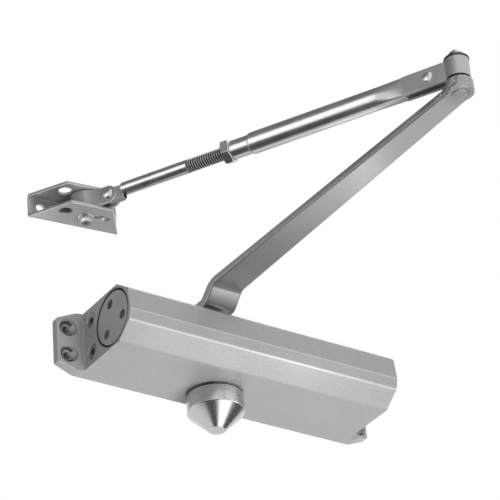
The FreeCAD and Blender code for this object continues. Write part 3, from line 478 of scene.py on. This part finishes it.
def roughen_near_elbow(material, reach, softness, roughness, bump, colour):
    """Lets a finish turn rougher, lumpier and of another tone towards the elbow."""
    tree = material.node_tree
    shader = tree.nodes["Principled BSDF"]
    zone = tree.nodes.new("ShaderNodeGroup")
    zone.node_tree = near
    zone.inputs["Reach"].default_value = reach
    zone.inputs["Softness"].default_value = softness
    rough, tone, normal = [shader.inputs[label].links[0].from_socket
                           for label in ("Roughness", "Base Color", "Normal")]
    tree.links.new(mixed_number(tree, zone.outputs["Near"], rough, roughness), shader.inputs["Roughness"])
    tree.links.new(mixed_colour(tree, zone.outputs["Near"], tone, colour), shader.inputs["Base Color"])
    lumpy = relief_of(tree, zone.outputs["Height"], bump)
    tree.links.new(normal, lumpy.inputs["Normal"])
    tree.links.new(lumpy.outputs["Normal"], shader.inputs["Normal"])


def grey(value, blue=0.0):
    """Neutral colour with a slight cool cast."""
    return (value, value, value + blue)


print("finish helpers are ready")

# %% Silver paints
body_silver = finish("body_silver", dark=grey(0.37), light=grey(0.45, 0.003), metallic=0.25,
                     roughness=(0.34, 0.44), effect=flakes, values={"Flake Scale": 800, "Cloud Scale": 40},
                     bump=(0.22, 0.0002), edge_highlight_colour=grey(0.62))
lever_silver = finish("lever_silver", dark=grey(0.38), light=grey(0.44, 0.003), metallic=0.8,
                      roughness=(0.30, 0.36), effect=flakes, values={"Flake Scale": 2200, "Cloud Scale": 30},
                      bump=(0.12, 0.0001))
roughen_near_elbow(lever_silver, reach=0.016, softness=0.006, roughness=0.32, bump=(1.0, 0.0017),
                   colour=grey(0.38))
shoe_silver = finish("shoe_silver", dark=grey(0.40), light=grey(0.50, 0.003), metallic=0.5,
                     roughness=(0.28, 0.38), effect=flakes, values={"Flake Scale": 2000, "Cloud Scale": 60},
                     bump=(0.15, 0.0001), edge_highlight_colour=grey(0.72))
print("paints:", body_silver.name, lever_silver.name, shoe_silver.name)

# %% Plated metals
zinc = finish("bright_zinc", dark=grey(0.60), light=grey(0.72, 0.004), metallic=1.0, roughness=(0.25, 0.33),
              effect=plating, values={"Cloud Scale": 90}, bump=(0.06, 0.0001), edge_highlight_colour=grey(0.75))
pin_steel = finish("peened_steel", dark=grey(0.36), light=grey(0.46), metallic=1.0, roughness=(0.34, 0.44),
                   effect=plating, values={"Cloud Scale": 400}, bump=(0.5, 0.0004))
# Nearly black washers: painted shade standing in for the dark gaps at the elbow.
washer_gap_shade = finish("washer_painted_shade", dark=grey(0.05), light=grey(0.09), metallic=1.0, roughness=(0.4, 0.5),
                     effect=plating, values={"Cloud Scale": 300}, bump=(0.1, 0.0001))
forearm_zinc = finish("forearm_zinc", dark=grey(0.60), light=grey(0.72, 0.004), metallic=1.0,
                      roughness=(0.28, 0.36), effect=plating, values={"Cloud Scale": 60}, bump=(0.05, 0.0001),
                      edge_highlight_colour=grey(0.75))
# towards the elbow the forearm also turns darker, as painted shade
roughen_near_elbow(forearm_zinc, reach=0.036, softness=0.016, roughness=0.42, bump=(0.08, 0.0002),
                   colour=grey(0.48))
print("plated:", zinc.name, pin_steel.name, washer_gap_shade.name, forearm_zinc.name)

# %% Bare metals and rubber
cap_alloy = finish("cap_alloy", dark=grey(0.60), light=grey(0.62), metallic=1.0, roughness=(0.25, 0.28),
                   effect=rings, values={"Rings per Metre": 1500}, bump=(0.003, 0.0001), edge_highlight_colour=grey(0.62))
steel = finish("machined_steel", dark=grey(0.32), light=grey(0.42), metallic=1.0, roughness=(0.26, 0.36),
               effect=rings, values={"Rings per Metre": 1800}, bump=(0.06, 0.0001))
spring_wire = finish("spring_wire", dark=grey(0.16), light=grey(0.24), metallic=1.0, roughness=(0.35, 0.5),
                     effect=plating, values={"Cloud Scale": 200}, bump=(0.2, 0.0001))
bronze = finish("bearing_bronze", dark=(0.42, 0.27, 0.11), light=(0.55, 0.36, 0.16), metallic=1.0,
                roughness=(0.3, 0.42), effect=plating, values={"Cloud Scale": 150}, bump=(0.08, 0.0001))
rubber = finish("seal_rubber", dark=grey(0.018), light=grey(0.035), metallic=0.0, roughness=(0.5, 0.7),
                effect=plating, values={"Cloud Scale": 300}, bump=(0.2, 0.0001))
SLOT_FINISH = {"body_paint": body_silver, "lever_paint": lever_silver, "shoe_paint": shoe_silver,
               "zinc_plate": zinc, "cap_metal": cap_alloy, "machined_steel": steel, "spring_steel": spring_wire,
               "bearing_bronze": bronze, "seal_rubber": rubber}
print("finishes by slot:", sorted(material.name for material in SLOT_FINISH.values()))

# %% [markdown]
# ## Rounded copies of the CAD solids
# Real castings and pressings have no knife edges: a narrow rounding catches the light along every edge.
# A copy of a CAD mesh is cleaned of its flat triangles, its sharp edges are bevelled, and the copy takes
# the solid's place. The CAD mesh itself stays as it is.

# %% Copies with rounded edges
MERGE_WITHIN = 2e-6
FLAT_WITHIN = 0.6         # degrees: triangles that lie this level become one face
ROUND_WITHIN = 0.3        # degrees: the same after the edges are rounded
ROUNDING = 1              # material index of a face that rounds an edge, while the mesh is being made; a long one gets the painted highlight
RECESS = 2                # the same for a face in a hole or groove, which gets painted shade, and for a dark joint line
THREAD = 3                # and for the crest of a thread, which gets a lesser share of the same darkening


def cleaned(node):
    """Bmesh of a CAD node with flat triangles merged into whole faces."""
    source = frame["nodes"][node].data
    shape = bmesh.new()
    for vertex in source.vertices:
        shape.verts.new(vertex.co)
    shape.verts.ensure_lookup_table()
    for polygon in source.polygons:
        corners = [shape.verts[i] for i in polygon.vertices]
        if shape.faces.get(corners) is None:
            shape.faces.new(corners)
    bmesh.ops.remove_doubles(shape, verts=shape.verts, dist=MERGE_WITHIN)
    bmesh.ops.dissolve_limit(shape, angle_limit=math.radians(FLAT_WITHIN), verts=shape.verts, edges=shape.edges)
    return shape


def round_edges(shape, chosen, width_mm, segments):
    """Rounds the chosen edges of a bmesh."""
    bmesh.ops.bevel(shape, geom=chosen, offset=width_mm / 1000, segments=segments, profile=0.5, affect="EDGES",
                    clamp_overlap=False, loop_slide=True, material=ROUNDING)
    bmesh.ops.dissolve_limit(shape, angle_limit=math.radians(ROUND_WITHIN), verts=shape.verts,
                             edges=shape.edges, delimit={"MATERIAL"})
    bmesh.ops.triangulate(shape, faces=shape.faces, quad_method="BEAUTY", ngon_method="BEAUTY")


def sharp_edges(shape, sharper_than, longer_than_mm=0.0):
    """Edges where two faces meet at more than an angle, without the very short ones."""
    limit = math.radians(sharper_than)
    return [e for e in shape.edges if len(e.link_faces) == 2 and e.calc_face_angle() > limit
            and e.calc_length() > longer_than_mm / 1000]


print("helpers for rounded copies are ready")

# %% [markdown]
# The normals at each corner are weighed by the area of the flat regions that meet there, so large faces stay
# flat and the narrow roundings blend between them.

# %% Normals of a piece
LEVEL_WITHIN = 0.3        # degrees between two faces of one flat region


def flat_regions(shape):
    """Number of the flat region that each face belongs to, and the area of each region."""
    level = math.cos(math.radians(LEVEL_WITHIN))
    region_of = [-1] * len(shape.faces)
    areas = []
    for start in shape.faces:
        if region_of[start.index] >= 0:
            continue
        region_of[start.index] = len(areas)
        waiting = [start]
        area = 0.0
        while waiting:
            face = waiting.pop()
            area += face.calc_area()
            for edge in face.edges:
                for other in edge.link_faces:
                    if region_of[other.index] < 0 and other.normal.dot(start.normal) > level:
                        region_of[other.index] = len(areas)
                        waiting.append(other)
        areas.append(area)
    return region_of, areas


def corner_normals(shape, smooth_below):
    """Normal of every face corner: the regions that meet there, weighed by area, if they turn gently."""
    shape.faces.index_update()
    shape.normal_update()
    region_of, areas = flat_regions(shape)
    limit = math.cos(math.radians(smooth_below))
    normals = []
    for face in shape.faces:
        for vertex in face.verts:
            around = {region_of[other.index]: other.normal for other in vertex.link_faces
                      if other.normal.dot(face.normal) > limit}
            total = sum((normal * areas[region] for region, normal in around.items()), Vector())
            normals.append(total.normalized() if total.length > 0 else face.normal.copy())
    return normals


print("helpers for normals are ready")

# %% [markdown]
# A finished shape becomes a piece: it gets its marks for painted highlight and painted shade and its normals, and
# then the finish that the CAD node's record slot calls for and the node's body.

# %% Pieces
HIGHLIGHT_LENGTH = 0.005       # only longer edges get the painted highlight
THREAD_MARK = -0.45


def mark_of(face):
    """1 for the painted highlight on the rounding of a long edge, -1 for painted shade in a recess or a dark
    joint, less on a thread, otherwise 0.
    """
    if face.material_index in (RECESS, THREAD):
        return -1.0 if face.material_index == RECESS else THREAD_MARK
    long_edge = max(edge.calc_length() for edge in face.edges) > HIGHLIGHT_LENGTH
    return 1.0 if face.material_index == ROUNDING and long_edge else 0.0


def piece_from(name, shape, smooth_below=40):
    """Object from a bmesh, smooth except where faces meet at more than the given angle."""
    normals = corner_normals(shape, smooth_below)
    painted_marks = [mark_of(face) for face in shape.faces]
    for face in shape.faces:
        face.material_index = 0
    mesh = bpy.data.meshes.new(name)
    shape.to_mesh(mesh)
    shape.free()
    mesh.attributes.new(PAINTED_LIGHT_MARKS, "FLOAT", "FACE").data.foreach_set("value", painted_marks)
    mesh.polygons.foreach_set("use_smooth", [True] * len(mesh.polygons))
    mesh.normals_split_custom_set(normals)
    piece = bpy.data.objects.new(name, mesh)
    scene.collection.objects.link(piece)
    return piece


def place_piece(piece, *nodes, special=None):
    """Gives a piece the finish that the CAD nodes' record slot calls for and their body, and hides the nodes."""
    piece.data.materials.clear()
    piece.data.materials.append(special or SLOT_FINISH[SLOT_OF[nodes[0]]])
    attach(piece, BODY_OF[nodes[0]])
    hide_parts(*nodes)
    return piece


def rounded(node, width_mm, segments=3, sharper_than=32, longer_than_mm=0.0, special=None):
    """Copy of a CAD node with its sharp edges rounded, in place of the node."""
    shape = cleaned(node)
    round_edges(shape, sharp_edges(shape, sharper_than, longer_than_mm), width_mm, segments)
    return place_piece(piece_from(node + "_piece", shape), node, special=special)


print("piece helpers are ready")

# %% [markdown]
# ## Body
# The body is a painted casting. Its front carries a low ridge along its whole length, so shallow an edge that the
# general limit would miss it: long straight edges are rounded at a smaller angle. The rounding below the front is
# already in the solid and is only marked, so that it gets the painted edge highlight. The screw holes look dark
# inside: they narrow strongly towards the door, which hides the white behind them, and their walls get painted
# shade, except the walls that face towards -x, which stay unshaded so that they look lit. The joint round each
# plug is a dark line.

# %% Body
EDGE_ANGLE = 32                            # degrees
RIDGE_ANGLE = 14
RIDGE_LENGTH = 0.05
FRONT_ROUNDING_Y = (0.0587, 0.0598)        # in front of the door
FRONT_ROUNDING_Z = (0.0094, 0.0110)        # below the middle
HOLE_X = 0.1038
HOLE_Z = 0.0087
HOLE_R = 0.0026
SEAT_R = 0.0052
FOOT_FROM_X = 0.097
UNSHADED_WALL_TURN = -0.45                        # hole walls whose normals turn further towards -x than this get no painted shade, so they look lit
AT_DOOR = -1e-5
HOLE_KEEPS = 0.2                           # share of its width that a hole keeps at the door
BODY_ROUNDING_MM = 0.35


def same_quarter(point, x, y, z):
    """Point at x and z on the same side of the middle as another point."""
    return Vector((math.copysign(x, point.x), y, math.copysign(z, point.z)))


def in_front_rounding(vertex):
    """True for a vertex of the rounding below the front."""
    low_y, high_y = FRONT_ROUNDING_Y
    low_z, high_z = FRONT_ROUNDING_Z
    return low_y < -vertex.co.y < high_y and low_z < -vertex.co.z < high_z


shape = cleaned("closer_body")
ridge = [e for e in sharp_edges(shape, RIDGE_ANGLE) if e.calc_length() > RIDGE_LENGTH]
chosen = set(sharp_edges(shape, EDGE_ANGLE)) | set(ridge)
for face in shape.faces:
    # the rounding below the front gets the painted edge highlight
    if all(in_front_rounding(vertex) for vertex in face.verts):
        face.material_index = ROUNDING
    middle = face.calc_center_median()
    axis = same_quarter(middle, HOLE_X, middle.y, HOLE_Z)
    # painted shade on the walls of the screw holes, except the walls that face towards -x
    if (middle - axis).length < SEAT_R and abs(middle.x) > FOOT_FROM_X and face.normal.x > UNSHADED_WALL_TURN:
        face.material_index = RECESS
for vertex in shape.verts:
    hole = same_quarter(vertex.co, HOLE_X, 0, HOLE_Z)
    if vertex.co.y > AT_DOOR and (vertex.co - hole).length < HOLE_R:
        vertex.co = hole + (vertex.co - hole) * HOLE_KEEPS
round_edges(shape, list(chosen), BODY_ROUNDING_MM, 3)
print("body edges rounded:", len(chosen), "of them long ones:", len(ridge))

# %% Joint round the plugs
END_FROM_X = 0.0935
JOINT_WIDTH = 0.0009
plug_low, plug_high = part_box("left_end_plug")
PLUG_Y = (plug_low[1] + plug_high[1]) / 2
PLUG_R = (plug_high[1] - plug_low[1]) / 2


def from_plug_axis(face):
    """Distance of a face's middle from the plugs' common axis."""
    middle = face.calc_center_median()
    return math.hypot(middle.y - PLUG_Y, middle.z)


for face in shape.faces:
    at_end = abs(face.calc_center_median().x) > END_FROM_X
    if face.material_index == ROUNDING and at_end and abs(from_plug_axis(face) - PLUG_R) < JOINT_WIDTH:
        face.material_index = RECESS
body_piece = place_piece(piece_from("closer_body_piece", shape, 30), "closer_body")
print("body faces:", len(body_piece.data.polygons))

# %% Plugs and valve screws
PLUG_RIM = 0.0006
for node in ("closing_valve", "latching_valve"):
    piece = rounded(node, 0.25)
    print(piece.name, len(piece.data.polygons), "faces")
for node in ("left_end_plug", "right_end_plug"):
    shape = cleaned(node)
    round_edges(shape, sharp_edges(shape, EDGE_ANGLE), BODY_ROUNDING_MM, 3)
    for face in shape.faces:
        if from_plug_axis(face) > PLUG_R - PLUG_RIM:
            face.material_index = RECESS
    piece = place_piece(piece_from(node + "_piece", shape), node)
    print(piece.name, len(piece.data.polygons), "faces")

# %% [markdown]
# ## Cone cap
# The cap is turned from one bar, so it is made as a lathe makes it: a profile swept round the axis. The corners of
# the profile are rounded first, and many steps round the axis keep the mirror bands smooth. The line where the cap
# meets the body is darkened as painted shade.

# %% Cap
CORNER_STEPS = 4
CORNER_SHARE = 0.45        # most of a side that a rounded corner takes


def soft_profile(points, reach):
    """Profile of (radius, height) points with its corners rounded over at most the given reach."""
    smooth = [points[0]]
    for before, here, after in zip(points, points[1:], points[2:]):
        back = Vector(before) - Vector(here)
        ahead = Vector(after) - Vector(here)
        start = Vector(here) + back.normalized() * min(reach, back.length * CORNER_SHARE)
        end = Vector(here) + ahead.normalized() * min(reach, ahead.length * CORNER_SHARE)
        for step in range(CORNER_STEPS + 1):
            t = step / CORNER_STEPS
            point = start * (1 - t) ** 2 + Vector(here) * 2 * t * (1 - t) + end * t ** 2
            smooth.append((max(point.x, 0.0), point.y))
    return smooth + [points[-1]]


def turned(name, profile, base, axis, steps):
    """Turned piece: a profile in millimetres swept round an axis that starts at base."""
    turn = UP.rotation_difference(Vector(axis)).to_matrix().to_4x4()
    place = Matrix.Translation(base) @ turn
    shape = bmesh.new()
    rows = []
    for reach, height in profile:
        count = steps if reach > 1e-6 else 1
        angles = [2 * math.pi * k / steps for k in range(count)]
        rows.append([shape.verts.new(place @ (Vector((reach * math.cos(a), reach * math.sin(a), height)) / 1000))
                     for a in angles])
    for low, high in zip(rows, rows[1:]):
        for k in range(steps):
            after = (k + 1) % steps
            corners = [low[k % len(low)], low[after % len(low)], high[after % len(high)], high[k % len(high)]]
            corners = list(dict.fromkeys(corners))
            if len(corners) > 2:
                shape.faces.new(corners)
    bmesh.ops.recalc_face_normals(shape, faces=shape.faces)
    return piece_from(name, shape)


CAP_PROFILE = [(15.62, 10.4), (15.62, 0), (17.3, 0), (17.3, 0.9), (17.3, 11.4), (5.9, 22.4), (5.1, 23.2),
               (1.3, 23.2), (0, 22.5)]
CONTACT_SHADE_HEIGHT = 0.0009
cap_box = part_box("spindle_cap")
cap_base = Vector((SPINDLE.x, SPINDLE.y, cap_box[1][2]))
cap_piece = turned("spindle_cap_piece", soft_profile(CAP_PROFILE, 0.45), cap_base, (0, 0, -1), 128)
place_piece(cap_piece, "spindle_cap")
cap_marks = cap_piece.data.attributes[PAINTED_LIGHT_MARKS].data
# painted shade along the line where the cap meets the body
for polygon in cap_piece.data.polygons:
    if cap_base.z - polygon.center.z < CONTACT_SHADE_HEIGHT:
        cap_marks[polygon.index].value = -1.0
print("cap from", [round(v * 1000, 1) for v in cap_base], "faces:", len(cap_piece.data.polygons))

# %% [markdown]
# ## Lever and elbow
# The main lever is a forged bar: its edges are well rounded, and the elbow end is left rougher where the
# pin was peened over. The pin itself is turned, with a domed head, and its peened end is uneven.

# %% Lever
lever_piece = rounded("main_lever", 1.4, segments=4)
print("lever faces:", len(lever_piece.data.polygons))

# %% Elbow
PIN_R = 3.9               # millimetres, as the next three
HEAD_R = 4.7
HEAD_HEIGHT = 5.8
DOME_HEIGHT = 4.6
PEENED_END = 0.0008
PEENED_DEPTH = 0.0005
PEENED_SCALE = 420
for node in ("elbow_bush", "lever_washer", "lever_screw"):
    rounded(node, 0.2)
# the elbow's washers take the nearly black finish, painted shade for the gaps round the elbow
for node in ("lower_elbow_washer", "upper_elbow_washer"):
    rounded(node, 0.2, special=washer_gap_shade)
pin_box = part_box("elbow_pin")
PIN_TOP = (pin_box[1][2] - pin_box[0][2]) * 1000
DOME_FROM = PIN_TOP - DOME_HEIGHT
HEAD_FROM = PIN_TOP - HEAD_HEIGHT
DOME = [(HEAD_R * math.cos(a), DOME_FROM + DOME_HEIGHT * math.sin(a)) for a in (0.2, 0.4, 0.6, 0.8, 1.0, 1.2, 1.4)]
PIN_PROFILE = [(0, 0.5), (1.6, 0.2), (2.6, 0), (4.4, 0.05), (5.1, 0.5), (5.0, 0.9), (PIN_R, 1.0),
               (PIN_R, HEAD_FROM), (HEAD_R, HEAD_FROM), (HEAD_R, DOME_FROM), *DOME, (0, PIN_TOP)]
pin_base = Vector((ELBOW.x, ELBOW.y, pin_box[0][2]))
pin_piece = turned("elbow_pin_piece", soft_profile(PIN_PROFILE, 0.3), pin_base, UP, 64)
for vertex in pin_piece.data.vertices:
    if vertex.co.z < pin_base.z + PEENED_END:
        vertex.co.z += PEENED_DEPTH * max(0.0, noise_at(vertex.co * PEENED_SCALE))
place_piece(pin_piece, "elbow_pin", special=pin_steel)
print("elbow pin faces:", len(pin_piece.data.polygons))

# %% [markdown]
# ## Forearm
# The forearm is a strip bent round the elbow's bush, riveted, and rolled into a tube further on. Its many
# short edges along the bends stay as they are.

# %% Tube and rivet
tube_piece = rounded("forearm_tube", 0.3, longer_than_mm=1.2, special=forearm_zinc)
rivet_piece = rounded("strap_rivet", 0.15, segments=2, sharper_than=50)
print("tube faces:", len(tube_piece.data.polygons), "rivet faces:", len(rivet_piece.data.polygons))

# %% [markdown]
# ## Threaded rod
# The rod keeps its CAD end at the link. Before it comes a round shank, and a thread on the rest: a groove that
# winds along the rod. The grid of the thread is sheared by one pitch per turn, so its rows run along the crests
# and the grooves stay clean. The thread fades out where the plain shank begins.

# %% Rod end and shank
ROD_R = 3.98              # millimetres, as the distances from the elbow below
THREAD_FROM = 100.0
THREAD_TO = 170.4
SHANK_END = 212.9
SHANK_OVERLAP = 1.5
SHANK_STEPS = 48


def rod_point(along, reach, angle):
    """Point by distance from the elbow, radius and angle about the rod, in millimetres."""
    across = math.cos(angle) * SIDE + math.sin(angle) * UP
    return ELBOW + (ALONG * along + across * reach) / 1000


shape = cleaned("adjusting_rod")
geometry = list(shape.verts) + list(shape.edges) + list(shape.faces)
cut = ELBOW + ALONG * (SHANK_END - SHANK_OVERLAP) / 1000
bmesh.ops.bisect_plane(shape, geom=geometry, plane_co=cut, plane_no=ALONG, clear_inner=True, clear_outer=False)
shank = [(THREAD_TO - 0.8, ROD_R), (SHANK_END - 1.0, ROD_R), (SHANK_END - 0.3, ROD_R - 0.3), (SHANK_END, 2.6)]
shank_rings = [[shape.verts.new(rod_point(along, reach, 2 * math.pi * k / SHANK_STEPS))
                for k in range(SHANK_STEPS)] for along, reach in shank]
for first, second in zip(shank_rings, shank_rings[1:]):
    for k in range(SHANK_STEPS):
        after = (k + 1) % SHANK_STEPS
        shape.faces.new((first[k], first[after], second[after], second[k]))
shape.faces.new(shank_rings[-1])
print("faces of rod end and shank:", len(shape.faces))

# %% Thread
PITCH = 1.45              # millimetres, as the next three
GROOVE = [0.0, 0.05, 0.30, 0.60, 0.88, 0.60, 0.30, 0.05]
# rows deeper than this, in millimetres, get painted shade
DEEP = 0.25
FADE_LENGTH = 2.0
THREAD_STEPS = 36
per_pitch = len(GROOVE)
row_count = int((THREAD_TO - THREAD_FROM) / PITCH * per_pitch)
grid = []
for row in range(row_count):
    line = []
    for k in range(THREAD_STEPS):
        along = THREAD_FROM + PITCH * (row / per_pitch + k / THREAD_STEPS)
        fade = min(1.0, max(0.0, (THREAD_TO - along) / FADE_LENGTH))
        reach = ROD_R - GROOVE[row % per_pitch] * fade
        line.append(shape.verts.new(rod_point(along, reach, 2 * math.pi * k / THREAD_STEPS)))
    grid.append(line)
for row in range(row_count - 1):
    depth = min(GROOVE[row % per_pitch], GROOVE[(row + 1) % per_pitch])
    patches = [(grid[row][k], grid[row][k + 1], grid[row + 1][k + 1], grid[row + 1][k])
               for k in range(THREAD_STEPS - 1)]
    if row + 1 + per_pitch < row_count:        # the last step of a turn meets the first of the next one
        patches.append((grid[row][-1], grid[row + per_pitch][0], grid[row + per_pitch + 1][0], grid[row + 1][-1]))
    for corners in patches:
        # deep groove faces get painted shade, the crests a lesser share of the same darkening
        shape.faces.new(corners).material_index = RECESS if depth > DEEP else THREAD
bmesh.ops.recalc_face_normals(shape, faces=shape.faces)
rod_piece = place_piece(piece_from("adjusting_rod_piece", shape, 60), "adjusting_rod")
print("thread turns:", round((THREAD_TO - THREAD_FROM) / PITCH, 1), "faces:", len(rod_piece.data.polygons))

# %% [markdown]
# The lock nut is pressed a little shorter along the rod, away from the forearm's end, and gets fine roundings
# without painted edge highlights.

# %% Lock nut
NUT_START = 140.2         # millimetres from the elbow
NUT_LOSES = 0.17          # share of its length
shape = cleaned("lock_nut")
for vertex in shape.verts:
    beyond_start = (vertex.co - ELBOW).dot(ALONG) - NUT_START / 1000
    vertex.co -= ALONG * beyond_start * NUT_LOSES
round_edges(shape, sharp_edges(shape, 20), 0.16, 2)
for face in shape.faces:
    face.material_index = 0
nut_piece = place_piece(piece_from("lock_nut_piece", shape), "lock_nut")
print("nut faces:", len(nut_piece.data.polygons))

# %% [markdown]
# ## Shoe
# The shoe and the link are bent from painted strip. Their narrow cut edges get a painted highlight, which shows as
# bright lines.

# %% Shoe and link
SHOE_ROUNDINGS_MM = {"shoe_bracket": 0.3, "shoe_link": 0.25, "link_rivet": 0.15, "pivot_screw": 0.12,
                     "pivot_washer": 0.15, "pivot_nut": 0.2, "pivot_sleeve": 0.2}
for node, width_mm in SHOE_ROUNDINGS_MM.items():
    piece = rounded(node, width_mm, sharper_than=40)
    print(piece.name, len(piece.data.polygons), "faces")

# %% [markdown]
# ## Return spring
# The spring stands between the piston and the right plug. When the arm opens, the piston runs towards the plug, so
# the real spring grows shorter by the same stroke. A copy of its mesh, with a mesh of its own, takes the place of
# the CAD node; it is not pressed together here.

# %% Spring
spring_mesh = frame["nodes"]["return_spring"].data.copy()
spring_piece = bpy.data.objects.new("return_spring_piece", spring_mesh)
scene.collection.objects.link(spring_piece)
place_piece(spring_piece, "return_spring")
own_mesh(spring_piece)

# %% [markdown]
# ## What stays as CAD
# The rest of the works inside the body and the spindle keep their CAD meshes. They still get their finishes,
# because the arm can be lifted off and the plugs taken out.

# %% Finishes of the remaining nodes
for name, node in frame["nodes"].items():
    node.data.materials.clear()
    node.data.materials.append(SLOT_FINISH[SLOT_OF[name]])
print("finished CAD nodes:", len(frame["nodes"]))
